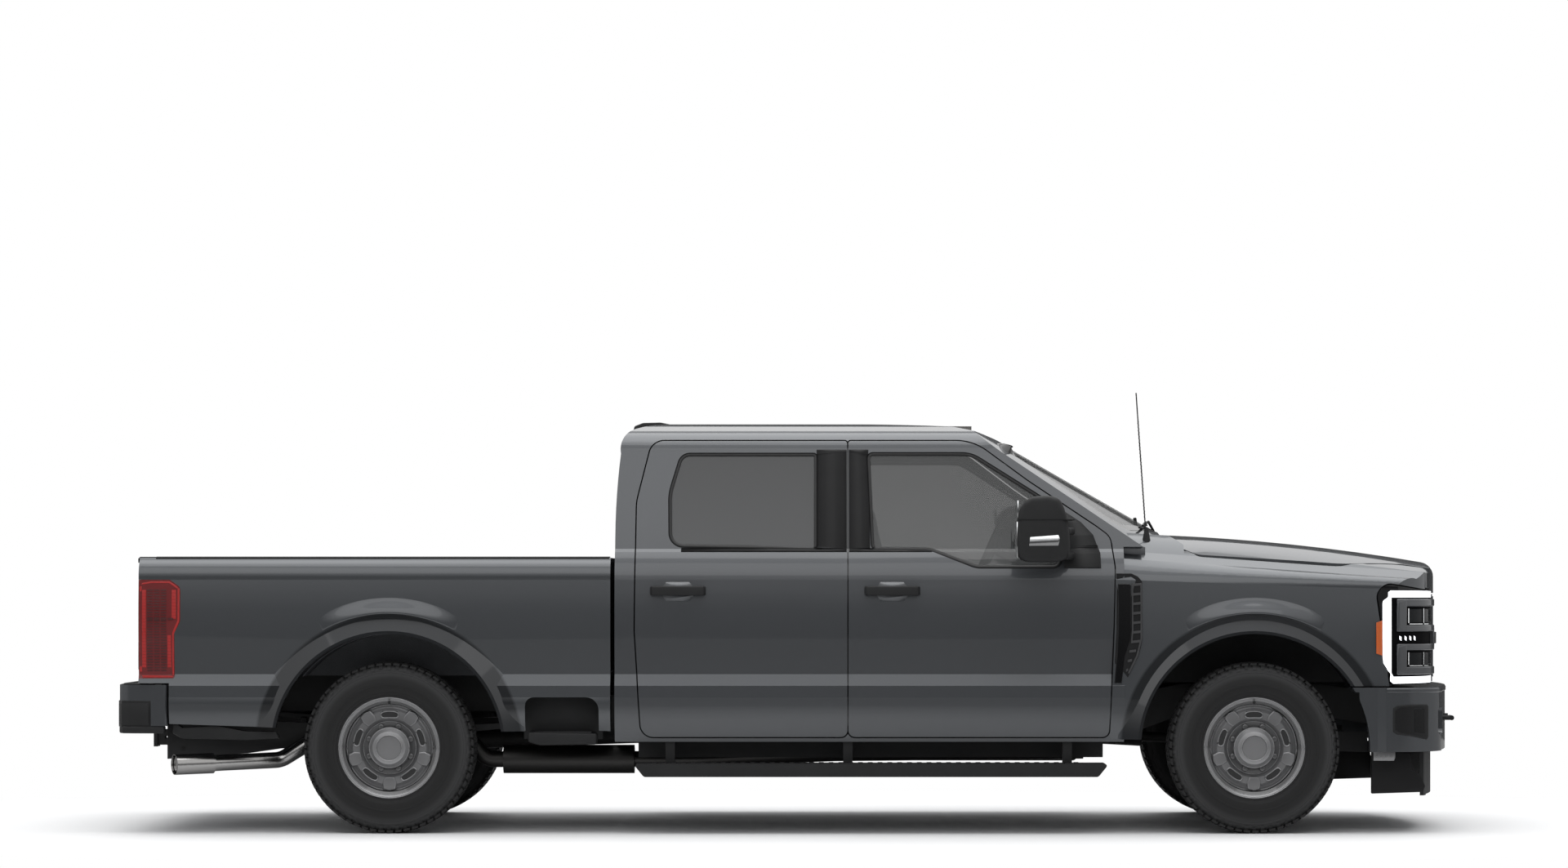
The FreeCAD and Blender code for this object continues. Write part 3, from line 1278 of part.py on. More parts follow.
gearbox = Part.makeCone(130, 100, 560, Vector(FRONT_AXLE_X - 460.3, 0, 505), Vector(-1, 0, 0))
transfer = block(650, 1160, -110, 210, 400, 620)
rear_shaft = rod(45, Vector(652, 0, 480), Vector(REAR_AXLE_X + 246, 0, AXLE_Z + 4))
front_shaft = rod(24, Vector(1158, 170, 450), Vector(FRONT_AXLE_X - 207, DIFF_Y, AXLE_Z))
drive = transfer.fuse([gearbox, rear_shaft, front_shaft])
drive = drive.cut(cylinder_y(CROSS_TUBE + 0.3, FRONT_AXLE_X - 1000, 540, -FRAME_Y, FRAME_Y))
feature("driveline", max(drive.Solids, key=lambda solid: solid.Volume))

tank = doc.addObject("Part::Box", "fuel_tank")
tank.setExpression("Length", "Sizes.tank_length")
tank.setExpression("Width", "Sizes.tank_width")
tank.setExpression("Height", "Sizes.tank_height")
tank.Placement.Base = Vector(-620, FRAME_Y, 350)
keep("fuel_tank", tank)


def bent_tube(points, radius, bend):
    """A round tube along straight runs joined by tangent arcs."""
    path = []
    last = points[0]
    for before, here, after in zip(points, points[1:], points[2:]):
        back = (before - here).normalize()
        ahead = (after - here).normalize()
        half = back.getAngle(ahead) / 2
        reach = bend / math.tan(half)
        start = here + back * reach
        stop = here + ahead * reach
        middle = (back + ahead).normalize()
        top = here + middle * (bend / math.sin(half) - bend)
        path.append(Part.LineSegment(last, start).toShape())
        path.append(Part.Arc(start, top, stop).toShape())
        last = stop
    path.append(Part.LineSegment(last, points[-1]).toShape())
    wire = Part.Wire(path)
    direction = points[1] - points[0]
    circle = Part.Wire(Part.Circle(points[0], direction, radius).toShape())
    return wire.makePipeShell([circle], True, True)


PIPE = size("exhaust_pipe_radius")
MUFFLER_X = REAR_AXLE_X + 512
front_pipe = bent_tube([
    Vector(FRONT_AXLE_X - 760, -240, 360),
    Vector(200, -300, 350),
    Vector(-450, -590, 335),
    Vector(MUFFLER_X + 600, -590, 335),
], PIPE, 120)
muffler = Part.makeCylinder(68, 624, Vector(MUFFLER_X, -590, 335), Vector(1, 0, 0))
tail_pipe = bent_tube([
    Vector(MUFFLER_X + 20, -615, 335),
    Vector(MUFFLER_X - 80, -622, 335),
    Vector(REAR_AXLE_X + 250, -642, 548),
    Vector(REAR_AXLE_X - 200, -642, 548),
    Vector(REAR_AXLE_X - 540, -690, 335),
    Vector(REAR_AXLE_X - 860, -860, 325),
    Vector(REAR_AXLE_X - 1000, -935, 322),
], PIPE, 90)
TIP = size("exhaust_tip_radius")
tip_end = Vector(REAR_AXLE_X - 1010, -940, 321.8)
tip_way = Vector(140, 75, 3.2).normalize()
tip = Part.makeCylinder(TIP, 190, tip_end, tip_way)
tip = tip.cut(Part.makeCylinder(TIP - 3, 150, tip_end, tip_way))
hanger = rod(7, Vector(MUFFLER_X + 300, -590, 360), Vector(MUFFLER_X + 300, -590, BED_UNDER_Z - 0.3))
tail_hanger = rod(7, Vector(REAR_AXLE_X - 100, -642, 560), Vector(REAR_AXLE_X - 100, -642, BED_UNDER_Z - 0.3))
exhaust = muffler.fuse([front_pipe, tail_pipe, tip, hanger, tail_hanger])
feature("exhaust", exhaust)

# Liners inside the front fenders

liner = cylinder_y(568, FRONT_AXLE_X, AXLE_Z, 520, SIDE_Y - 30.3)
liner = liner.cut(cylinder_y(562, FRONT_AXLE_X, AXLE_Z, 526, SIDE_Y - 20))
liner = liner.common(block(FRONT_AXLE_X - 600, FRONT_AXLE_X + 600, 500, 1000, 700, 1400))
liner = liner.cut(hood_hole)
feature("wheel_liners", Part.makeCompound([liner, mirrored(liner)]))

radiator = block(NOSE_X - 330, NOSE_X - 260, -350, 350, SUPPORT_TUBE_Z + CROSS_TUBE + 0.3, 1080)
support = nose_plan(LAMP_DEPTH + 0.3, SIDE_Y, 1050, 1090).cut(nose_plan(LAMP_DEPTH + 30, SIDE_Y, 1000, 1100))
support = support.common(block(NOSE_X - 420, FRONT_X, -860, 860, 1050, 1090))
links = []
for side in (-1, 1):
    stay = nose_plan(GRILLE_DEPTH + 0.3, SIDE_Y, 1050, 1090)
    stay = stay.cut(nose_plan(LAMP_DEPTH + 10, SIDE_Y, 1000, 1100))
    links.append(stay.common(block(NOSE_X - 420, FRONT_X, side * 300 - 20, side * 300 + 20, 1050, 1090)))
    links.append(block(NOSE_X - 300, NOSE_X - LAMP_DEPTH - 35, side * 330 - 20, side * 330 + 20, 1050, 1080))
radiator = radiator.fuse([support] + links)
feature("radiator", radiator)

# Inside the cab

FLOOR_Z = size("floor_bottom") + size("floor_thickness")
dash = prism("xz", [
    (FIREWALL_X - 45, FLOOR_Z + 250),
    (DOOR_FRONT_X - 160, FLOOR_Z + 300, 60),
    (DOOR_FRONT_X - 250, BELT_Z - 120, 80),
    (DOOR_FRONT_X - 200, BELT_Z - 10, 60),
    (FIREWALL_X - 45, BELT_Z + 20),
], -812, 812)
console = block(FRONT_AXLE_X - 1750, DOOR_FRONT_X - 190, -150, 150, FLOOR_Z, FLOOR_Z + 300)
STEERING_TILT = 24
STEERING_CENTRE = Vector(DOOR_FRONT_X - 510, 380, 1351)
COLUMN_LENGTH = 150
column_way = Vector(math.cos(math.radians(STEERING_TILT)), 0, -math.sin(math.radians(STEERING_TILT)))
shroud = rod(46, STEERING_CENTRE + column_way * (COLUMN_LENGTH + 0.3), STEERING_CENTRE + column_way * 340)
dash = dash.fuse([console, shroud]).common(inner_body)
feature("dashboard", dash)


def seat(x, y0, y1):
    """A seat with cushion, back and head rest as one plain closed form."""
    shape = prism("xz", [
        (x - 30, FLOOR_Z, 20),
        (x + 480, FLOOR_Z, 20),
        (x + 520, FLOOR_Z + 380, 50),
        (x + 60, FLOOR_Z + 350, 40),
        (x - 110, FLOOR_Z + 930, 50),
        (x - 220, FLOOR_Z + 920, 50),
        (x - 90, FLOOR_Z + 300, 60),
    ], y0, y1)
    rest = prism("xz", [
        (x - 120, FLOOR_Z + 900, 10),
        (x - 130, FLOOR_Z + 1110, 40),
        (x - 230, FLOOR_Z + 1110, 40),
        (x - 210, FLOOR_Z + 900, 10),
    ], (y0 + y1) / 2 - 130, (y0 + y1) / 2 + 130)
    return shape.fuse(rest)


seats = [
    seat(DOOR_SPLIT_X + 180, 190, 730),
    seat(DOOR_SPLIT_X + 180, -730, -190),
]
rear_bench = seat(DOOR_REAR_X + 240, -790, 790)
for middle in (-520, 520):
    rear_bench = rear_bench.fuse(seat(DOOR_REAR_X + 240, middle - 200, middle + 200))
seats.append(rear_bench)
feature("seats", Part.makeCompound(seats))

steering = Part.makeTorus(size("steering_wheel_diameter") / 2 - 16, 16)
hub_part = Part.makeCylinder(70, 40, Vector(0, 0, -30))
spoke = block(-180, 180, -16, 16, -12, 6)
spoke_low = block(-16, 16, -180, 0, -12, 6)
column = Part.makeCylinder(22, COLUMN_LENGTH - 20, Vector(0, 0, -COLUMN_LENGTH))
steering = steering.fuse([hub_part, spoke, spoke_low, column])
steering.rotate(Vector(0, 0, 0), Vector(0, 0, 1), 90)
steering.rotate(Vector(0, 0, 0), Vector(0, 1, 0), -90 + STEERING_TILT)
steering.translate(STEERING_CENTRE)
feature("steering_wheel", steering)

# Outside fittings

boards = prism("xz", [
    (DOOR_REAR_X + 30, 268, 20),
    (DOOR_FRONT_X - 60, 268, 20),
    (DOOR_FRONT_X - 10, 330, 10),
    (DOOR_REAR_X - 20, 330, 10),
], 880, 1035)
brackets = []
for x in (DOOR_REAR_X + 150, DOOR_SPLIT_X, DOOR_FRONT_X - 200):
    brackets.append(block(x - 22, x + 22, 892, 930, 320, size("rocker_bottom")))
boards = boards.fuse(brackets)
feature("running_boards", Part.makeCompound([boards, mirrored(boards)]))

mirror_head = prism("xz", [
    (DOOR_FRONT_X - 440, 1290, 40),
    (DOOR_FRONT_X - 215, 1270, 50),
    (DOOR_FRONT_X - 200, 1420, 400),
    (DOOR_FRONT_X - 235, 1583, 50),
    (DOOR_FRONT_X - 425, 1570, 50),
], 1120, 1346)
SAIL = [
    (DOOR_FRONT_X - 216, 1246, 12),
    (DOOR_FRONT_X - 44, 1246, 10),
    (DOOR_FRONT_X - 46, 1310, 60),
    (DOOR_FRONT_X - 78, 1400, 60),
    (DOOR_FRONT_X - 135, 1460, 60),
    (DOOR_FRONT_X - 214, 1512, 8),
]
sail_outer = cab_half_section(*cab_section(-9, size("rocker_bottom")), DOOR_FRONT_X - 260, DOOR_FRONT_X)
sail_inner = cab_half_section(*cab_section(-0.3, size("rocker_bottom")), DOOR_FRONT_X - 260, DOOR_FRONT_X)
sail = sail_outer.cut(sail_inner).common(prism("xz", SAIL, 600, OUT_Y))
arm_zone = block(DOOR_FRONT_X - 500, DOOR_FRONT_X, 0, 1400, 1200, 1600).cut(sail_inner)
mirror_arms = [
    block(DOOR_FRONT_X - 225, DOOR_FRONT_X - 150, SIDE_Y - 120, 1130, 1410, 1440).common(arm_zone),
    block(DOOR_FRONT_X - 225, DOOR_FRONT_X - 150, SIDE_Y - 120, 1130, 1290, 1322).common(arm_zone),
]
mirror = mirror_head.fuse(mirror_arms + [sail])
feature("mirror_left", mirror)
feature("mirror_right", mirrored(mirror))

mast = rod(3, Vector(DOOR_FRONT_X + 180, -795, 1400), Vector(DOOR_FRONT_X + 133, -795, 2075))
mast_base = Part.makeCone(26, 8, 90, Vector(DOOR_FRONT_X + 182, -795, 1345), Vector(0, 0, 1))
antenna = mast_base.fuse(mast).cut(mirrored(clip_outer.cut(clip_inner)))
feature("antenna", max(antenna.Solids, key=lambda solid: solid.Volume))

markers = []
for y in (-560, -180, 0, 180, 560):
    lift = ROOF_Z - 34 - 42 * (y / 560) ** 2
    markers.append(block(DOOR_FRONT_X - 735, DOOR_FRONT_X - 625, y - 30, y + 30, lift, lift + 28))
brake_lamp = block(CAB_REAR_X + 25, CAB_REAR_X + 80, -160, 160, 1850, 1880)
roof_lamps = [piece.cut(shell) for piece in markers + [brake_lamp]]
feature("roof_lamps", Part.makeCompound([max(p.Solids, key=lambda s: s.Volume) for p in roof_lamps]))

doc.recompute()

os.makedirs("parts", exist_ok=True)
for label, item in parts.items():
    if "Invalid" in item.State or "Error" in item.State:
        raise RuntimeError("%s failed to build" % label)
    if item.Shape.isNull() or not item.Shape.isValid():
        raise RuntimeError("%s has no valid shape" % label)
for label, item in parts.items():
    item.Shape.exportStep("parts/%s.step" % label)
    print(label, len(item.Shape.Solids), round(item.Shape.Volume / 1e6, 1))
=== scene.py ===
"""Looks of the crew-cab pickup truck: finishes, trim, lamps, tyres, seats and studio, on its frame."""

import math

import bmesh
import bpy
from mathutils import Matrix, Vector
from mathutils.bvhtree import BVHTree


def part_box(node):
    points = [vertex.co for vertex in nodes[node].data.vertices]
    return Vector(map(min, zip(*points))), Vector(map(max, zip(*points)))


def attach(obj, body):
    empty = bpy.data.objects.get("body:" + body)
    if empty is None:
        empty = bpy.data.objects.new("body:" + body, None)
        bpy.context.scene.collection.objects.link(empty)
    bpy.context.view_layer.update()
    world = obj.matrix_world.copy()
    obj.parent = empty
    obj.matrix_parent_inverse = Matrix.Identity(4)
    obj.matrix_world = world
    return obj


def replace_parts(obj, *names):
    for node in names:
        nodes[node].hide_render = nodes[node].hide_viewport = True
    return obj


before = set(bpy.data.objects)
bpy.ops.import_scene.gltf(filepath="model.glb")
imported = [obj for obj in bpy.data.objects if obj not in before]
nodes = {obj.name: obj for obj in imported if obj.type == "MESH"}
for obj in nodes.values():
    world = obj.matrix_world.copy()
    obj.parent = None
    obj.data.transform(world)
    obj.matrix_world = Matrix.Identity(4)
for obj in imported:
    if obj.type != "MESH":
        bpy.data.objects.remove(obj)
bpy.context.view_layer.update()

SIDES = {"left": 1, "right": -1}
AXLES = {"front": Vector((2.17, 0, 0.402)), "rear": Vector((-1.889, 0, 0.402))}

# Finishes


def finish(name, colour, roughness, metallic=0.0, **sockets):
    """A new material whose shader holds these plain values; keys are socket names with _ for a space."""
    made = bpy.data.materials.new(name)
    made.use_nodes = True
    shader = made.node_tree.nodes["Principled BSDF"]
    shader.inputs["Base Color"].default_value = (*colour, 1)
    shader.inputs["Roughness"].default_value = roughness
    shader.inputs["Metallic"].default_value = metallic
    for key, value in sockets.items():
        shader.inputs[key.replace("_", " ")].default_value = value
    return made


def node_output(made, kind, output, inputs, **settings):
    """One output of a new shader node whose inputs are plain values or other nodes' outputs."""
    node = made.node_tree.nodes.new("ShaderNode" + kind)
    for key, value in settings.items():
        setattr(node, key, value)
    for key, value in inputs.items():
        if isinstance(value, bpy.types.NodeSocket):
            made.node_tree.links.new(value, node.inputs[key])
        else:
            node.inputs[key].default_value = value
    return node.outputs[output]


def wire(made, value, socket, node="Principled BSDF"):
    """Feeds a value into a socket of a node that the finish already has."""
    made.node_tree.links.new(value, made.node_tree.nodes[node].inputs[socket])


def place(made, scale=(1, 1, 1)):
    """The object coordinates of a finish, scaled for a pattern."""
    return node_output(made, "Mapping", "Vector",
                       {"Vector": node_output(made, "TexCoord", "Object", {}), "Scale": scale})


def along(made, axis):
    """A point's place along one of the truck's axes, in metres."""
    return node_output(made, "SeparateXYZ", axis, {"Vector": place(made)})


def noise(made, where, scale, detail=2.0, roughness=0.5):
    """A noise pattern's value."""
    return node_output(made, "TexNoise", "Fac",
                       {"Vector": where, "Scale": scale, "Detail": detail, "Roughness": roughness})


def waves(made, where, scale, axis):
    """A band pattern along one axis."""
    return node_output(made, "TexWave", "Fac", {"Vector": where, "Scale": scale}, bands_direction=axis)


def spread(made, value, low, high, from_low=0.0, from_high=1.0):
    """A value moved to another range."""
    return node_output(made, "MapRange", "Result", {
        "Value": value, "From Min": from_low, "From Max": from_high, "To Min": low, "To Max": high})


def shades(made, value, stops):
    """Turns a value into colours; stops are (position, colour)."""
    ramp = made.node_tree.nodes.new("ShaderNodeValToRGB")
    elements = ramp.color_ramp.elements
    while len(elements) < len(stops):
        elements.new(0.5)
    for element, (position, colour) in zip(elements, stops):
        element.position = position
        element.color = (*colour, 1)
    made.node_tree.links.new(value, ramp.inputs["Fac"])
    return ramp.outputs["Color"]


def tint(made, value, dark, light):
    """Colours the finish between two shades by a pattern's value."""
    wire(made, shades(made, value, [(0.0, dark), (1.0, light)]), "Base Color")


def rough(made, value, low, high):
    """Varies the finish's roughness by a pattern's value."""
    wire(made, spread(made, value, low, high), "Roughness")


def relief(made, value, depth, strength=1.0):
    """Raises the finish by a pattern's value, in metres."""
    bump = node_output(made, "Bump", "Normal", {"Height": value, "Strength": strength, "Distance": depth})
    wire(made, bump, "Normal")


def axle_gap(made):
    """How far a point of the finish lies from the nearer axle, seen from the side."""
    flat = node_output(made, "VectorMath", "Vector", {0: place(made), 1: (1, 0, 1)}, operation="MULTIPLY")
    gaps = [node_output(made, "VectorMath", "Value", {0: flat, 1: (axle.x, 0, axle.z)}, operation="DISTANCE")
            for axle in AXLES.values()]
    return node_output(made, "Math", "Value", dict(enumerate(gaps)), operation="MINIMUM")


def ringed(made, rings):
    """Shades a wheel's finish in rings; rings are (radius, grey)."""
    first, last = rings[0][0], rings[-1][0]
    stops = [((radius - first) / (last - first), (grey, grey, grey * 1.02)) for radius, grey in rings]
    wire(made, shades(made, spread(made, axle_gap(made), 0.0, 1.0, first, last), stops), "Base Color")


def paint_finish(name, dark, light):
    """Metallic paint: fine flakes under a clear coat with a faint ripple."""
    edge = tuple(min(1, 3 * c) for c in light)
    made = finish(name, light, 0.36, 0.62, Coat_Weight=0.9, Coat_Roughness=0.05, Coat_IOR=1.45,
                  Specular_Tint=(*edge, 1))
    where = place(made)
    tint(made, noise(made, where, 1900, 1.0), dark, light)
    rough(made, noise(made, where, 700, 1.0), 0.33, 0.42)
    relief(made, noise(made, where, 38, 1.0), 0.0006, 0.1)
    return made


def grained_plastic(name, colour, roughness=0.6, grain=520, depth=0.0004):
    """Moulded plastic with a leather-like grain and faint dust."""
    made = finish(name, colour, roughness, Specular_IOR_Level=0.22)
    where = place(made)
    pale = tuple(min(1, c * 1.5 + 0.002) for c in colour)
    tint(made, noise(made, where, 9, 4.0), colour, pale)
    relief(made, node_output(made, "TexVoronoi", "Distance", {"Vector": where, "Scale": grain}), depth, 0.55)
    return made


def cast_steel(name, dark, light, metallic, roughness, grain=160, depth=0.0006):
    """Painted or bare steel with a worn, slightly uneven surface."""
    made = finish(name, light, roughness, metallic)
    where = place(made)
    pattern = noise(made, where, 14, 6.0, 0.65)
    tint(made, pattern, dark, light)
    rough(made, pattern, roughness - 0.1, roughness + 0.12)
    relief(made, noise(made, where, grain, 3.0), depth, 0.4)
    return made


def rippled(name, colour, roughness, metallic, scale, depth, strength, detail=1.0, **sockets):
    """A plain finish with a faint ripple."""
    made = finish(name, colour, roughness, metallic, **sockets)
    relief(made, noise(made, place(made), scale, detail), depth, strength)
    return made


def rubber():
    """Tyre rubber with a faint grain and grey rings on its wall: a painted highlight round its shoulder and
    painted shade nearer the rim.
    """
    made = finish("tyre_rubber", (0.014, 0.014, 0.0145), 0.78, Specular_IOR_Level=0.3)
    relief(made, noise(made, place(made), 900, 2.0), 0.0003, 0.35)
    # Painted light: the paler ring on the shoulder is a painted highlight, and the darker ring nearer the
    # rim is painted shade.
    ringed(made, [(0.24, 0.014), (0.285, 0.009), (0.325, 0.014), (0.345, 0.03), (0.372, 0.034),
                  (0.38, 0.013), (0.402, 0.011)])
    return made


def wheel_paint():
    """Silver wheel paint with painted shade in the disc's hollows and painted highlights on its raised
    rings.
    """
    made = paint_finish("wheel_grey", (0.135, 0.137, 0.14), (0.215, 0.218, 0.222))
    # Painted light: the dark rings by the hub and in the gutter inside the rim are painted shade; the pale
    # rings are painted highlights.
    ringed(made, [(0.06, 0.22), (0.09, 0.26), (0.1, 0.1), (0.122, 0.085), (0.14, 0.16), (0.19, 0.2),
                  (0.203, 0.15), (0.208, 0.055), (0.219, 0.06), (0.224, 0.19), (0.24, 0.24)])
    return made


def arch_paint():
    """The body paint, darker within the wheel arches: painted shade on the flare band round each opening,
    and the arch's own dark inside.
    """
    made = paint_finish("arch_paint", *BODY_SHADES)
    # Darker inside a radius round each axle: painted shade on the body-coloured flare band, and the dark of
    # the arch's real liner.
    tint(made, spread(made, axle_gap(made), 0.0, 1.0, 0.62, 0.634), (0.022, 0.0232, 0.025),
         (0.072, 0.076, 0.081))
    return made


def exhaust_steel():
    """Exhaust steel, bright and smooth at the outlet and dull ahead of it."""
    made = cast_steel("exhaust_steel", (0.03, 0.029, 0.028), (0.11, 0.108, 0.104), 1.0, 0.36)
    outlet = spread(made, along(made, "X"), 0.0, 1.0, -2.1, -1.5)
    tint(made, outlet, (0.34, 0.335, 0.33), (0.045, 0.044, 0.043))
    rough(made, outlet, 0.2, 0.42)
    return made


def glass(name, colour, cover):
    """Tinted safety glass: a shiny dark film over what is behind it."""
    made = finish(name, colour, 0.03, 0.0, IOR=1.5, Alpha=cover, Specular_IOR_Level=0.5)
    # Lighter towards the bottom of each pane: a painted reflection.
    tint(made, spread(made, along(made, "Z"), 1.0, 0.0, 1.3, 1.8), colour, tuple(c * 1.5 for c in colour))
    relief(made, noise(made, place(made), 3, 1.0), 0.001, 0.02)
    return made


def lens(name, colour, rib, clear=0.0):
    """A moulded lamp lens with fine ribs behind a smooth face."""
    made = finish(name, colour, 0.12, 0.0, Coat_Weight=0.35, Coat_Roughness=0.05,
                  Transmission_Weight=clear, IOR=1.49, Specular_IOR_Level=0.3)
    ribs = waves(made, place(made), rib, "Z")
    tint(made, ribs, tuple(c * 0.45 for c in colour), colour)
    relief(made, ribs, 0.0012, 0.5)
    return made


def roof_lens():
    """The roof lamps' glass: red at the rear and smoke grey in front."""
    smoke = (0.2, 0.19, 0.18)
    made = lens("roof_lamp_glass", smoke, 160, 0.2)
    tint(made, spread(made, along(made, "X"), 0.0, 1.0, -0.6, -0.4), (0.42, 0.01, 0.012), smoke)
    return made


def light_guide():
    """A lit white strip with fine ribs."""
    made = finish("light_guide", (0.95, 0.96, 1.0), 0.25, 0.0, Emission_Color=(0.95, 0.97, 1.0, 1),
                  Emission_Strength=1.6)
    relief(made, waves(made, place(made), 60, "Z"), 0.0005, 0.1)
    return made


def cloth():
    """Woven seat cloth with a soft sheen."""
    made = finish("seat_cloth", (0.035, 0.036, 0.04), 0.92, 0.0, Sheen_Weight=0.35, Sheen_Roughness=0.5)
    where = place(made)
    threads = {0: waves(made, where, 320, "X"), 1: waves(made, where, 320, "Z")}
    weave = node_output(made, "Math", "Value", threads, operation="MULTIPLY")
    tint(made, weave, (0.022, 0.023, 0.026), (0.052, 0.053, 0.058))
    relief(made, weave, 0.0008, 0.6)
    return made


BODY_SHADES = ((0.048, 0.051, 0.055), (0.09, 0.094, 0.1))
PAINT = paint_finish("body_paint", *BODY_SHADES)
ARCH_PAINT = arch_paint()
BLACK = grained_plastic("black_plastic", (0.011, 0.0112, 0.0116))
SATIN = grained_plastic("satin_black", (0.006, 0.006, 0.0065), 0.42, 900, 0.00015)
GRILLE = paint_finish("grille_grey", (0.06, 0.062, 0.066), (0.098, 0.101, 0.106))
SLOT_GREY = grained_plastic("slot_grey", (0.034, 0.034, 0.035), 0.5, 700, 0.0002)
STEEL_WHEEL = wheel_paint()
# A lighter grey than the wheel's paint for the rim rings: painted highlights on the rings' edges.
WHEEL_EDGE_HIGHLIGHT = cast_steel("wheel_edge", (0.22, 0.22, 0.225), (0.36, 0.36, 0.365), 0.55, 0.36)
FRAME_STEEL = cast_steel("frame_steel", (0.004, 0.004, 0.0045), (0.012, 0.012, 0.013), 0.1, 0.6)
DRIVELINE = cast_steel("driveline_steel", (0.008, 0.008, 0.009), (0.026, 0.025, 0.024), 0.4, 0.6)
CHROME = cast_steel("polished_steel", (0.6, 0.6, 0.6), (0.72, 0.72, 0.73), 1.0, 0.14, 900, 0.00005)
CABIN = grained_plastic("interior_plastic", (0.02, 0.02, 0.022), 0.62, 700, 0.0003)
BEDLINER = grained_plastic("bed_finish", (0.045, 0.047, 0.05), 0.7, 300, 0.0009)
CLEAR_GLASS = glass("glass_clear", (0.055, 0.057, 0.057), 0.55)
AMBER_LENS = lens("lamp_amber", (0.72, 0.13, 0.012), 240)
RED_DEEP = lens("lamp_red_ribs", (0.075, 0.0015, 0.002), 240)
RED_BRIGHT = lens("lamp_red_rim", (0.52, 0.012, 0.01), 240)
CLOTH = cloth()
RUBBER = rubber()
GUIDE = light_guide()
SEAL = rippled("seal_rubber", (0.008, 0.008, 0.0085), 0.6, 0.0, 600, 0.0003, 0.4, 2.0)
GLOSS = rippled("gloss_black", (0.004, 0.004, 0.0045), 0.16, 0.0, 30, 0.0004, 0.08,
                Coat_Weight=0.35, Specular_IOR_Level=0.2)
REFLECTOR = rippled("lamp_reflector", (0.75, 0.76, 0.77), 0.12, 1.0, 60, 0.0006, 0.2)
MIRROR_GLASS = rippled("mirror_glass", (0.82, 0.83, 0.84), 0.03, 1.0, 4, 0.0004, 0.05)
OPTIC = rippled("projector_glass", (0.008, 0.009, 0.01), 0.1, 0.0, 40, 0.0005, 0.1, Specular_IOR_Level=0.12)
# Nearly black and without reflections: painted shade in the headlamp's recess, over the lamp's black
# housing.
WELL = finish("lamp_well", (0.004, 0.004, 0.0045), 0.5, 0.0, Specular_IOR_Level=0.02)

# What each slot of the frame wears, and the slot that each finish of a new piece belongs to
SLOT_FINISH = {
    "body_paint": PAINT,
    "black_plastic": BLACK,
    "grille_finish": GRILLE,
    "wheel_silver": STEEL_WHEEL,
    "frame_steel": FRAME_STEEL,
    "driveline_steel": DRIVELINE,
    "exhaust_steel": exhaust_steel(),
    "interior_plastic": CABIN,
    "bed_finish": BEDLINER,
    "tyre": RUBBER,
    "glass_clear": CLEAR_GLASS,
    "glass_dark": glass("glass_dark", (0.04, 0.041, 0.042), 0.93),
    "lamp_clear": finish("lamp_lens", (0.95, 0.96, 0.97), 0.03, 0.0, Transmission_Weight=1.0, IOR=1.3),
    "lamp_red": lens("lamp_red", (0.17, 0.003, 0.004), 95),
    "lamp_amber": AMBER_LENS,
    "seat_cloth": CLOTH,
}
USUAL_SLOT = {made.name: slot for slot, made in SLOT_FINISH.items()}
for slot, extras in {
    "black_plastic": (SATIN, SEAL, GLOSS, SLOT_GREY),
    "lamp_clear": (GUIDE, REFLECTOR, OPTIC, WELL),
    "lamp_red": (RED_DEEP, RED_BRIGHT),
    "glass_clear": (MIRROR_GLASS,),
    "wheel_silver": (WHEEL_EDGE_HIGHLIGHT,),
    "frame_steel": (CHROME,),
}.items():
    USUAL_SLOT.update({made.name: slot for made in extras})
for item in nodes.values():
    for slot in item.material_slots:
        slot.material = SLOT_FINISH[slot.material.name.split(".")[0]]
for name, made in {"headlamps": GLOSS, "fenders": ARCH_PAINT, "bed_sides": ARCH_PAINT,
                   "roof_lamps": roof_lens()}.items():
    nodes[name].material_slots[0].material = made

# Camera, lamps, floor and backdrop

PHOTO_WIDTH, PHOTO_HEIGHT = 1920, 1063
FOCAL_LENGTH = 5274
AIM_X, AIM_Y = 1006, 717
SENSOR = 36.0


def linked(name, data):
    """A new object in the scene."""
    item = bpy.data.objects.new(name, data)
    bpy.context.collection.objects.link(item)
    return item


def set_camera():
    """The photo's camera: its numbers are in the photo's pixels, its place in metres."""
    camera = linked("camera", bpy.data.cameras.new("camera"))
    camera.location = (0.1405, -21.17, 1.164)
    camera.rotation_euler = (math.radians(90), 0, 0)
    camera.data.sensor_width = SENSOR
    camera.data.lens = FOCAL_LENGTH / PHOTO_WIDTH * SENSOR
    camera.data.shift_x = -(AIM_X - PHOTO_WIDTH / 2) / PHOTO_WIDTH
    camera.data.shift_y = (AIM_Y - PHOTO_HEIGHT / 2) / PHOTO_WIDTH
    camera.data.clip_end = 200
    bpy.context.scene.camera = camera


def area_lamp(name, place_at, aim, width, height, power):
    """A soft rectangular lamp."""
    data = bpy.data.lights.new(name, "AREA")
    data.shape = "RECTANGLE"
    data.size, data.size_y, data.energy = width, height, power
    item = linked(name, data)
    item.location = place_at
    item.rotation_euler = (Vector(aim) - Vector(place_at)).to_track_quat("-Z", "Y").to_euler()


def stage_sheet(name, made, half, matrix=Matrix()):
    """A flat sheet of the studio, which isn't part of the truck."""
    shape = bmesh.new()
    bmesh.ops.create_grid(shape, x_segments=1, y_segments=1, size=1)
    bmesh.ops.scale(shape, vec=(*half, 1), verts=shape.verts)
    bmesh.ops.transform(shape, matrix=matrix, verts=shape.verts)
    mesh = bpy.data.meshes.new(name)
    shape.to_mesh(mesh)
    shape.free()
    mesh.materials.append(made)
    item = linked(name, mesh)
    return item


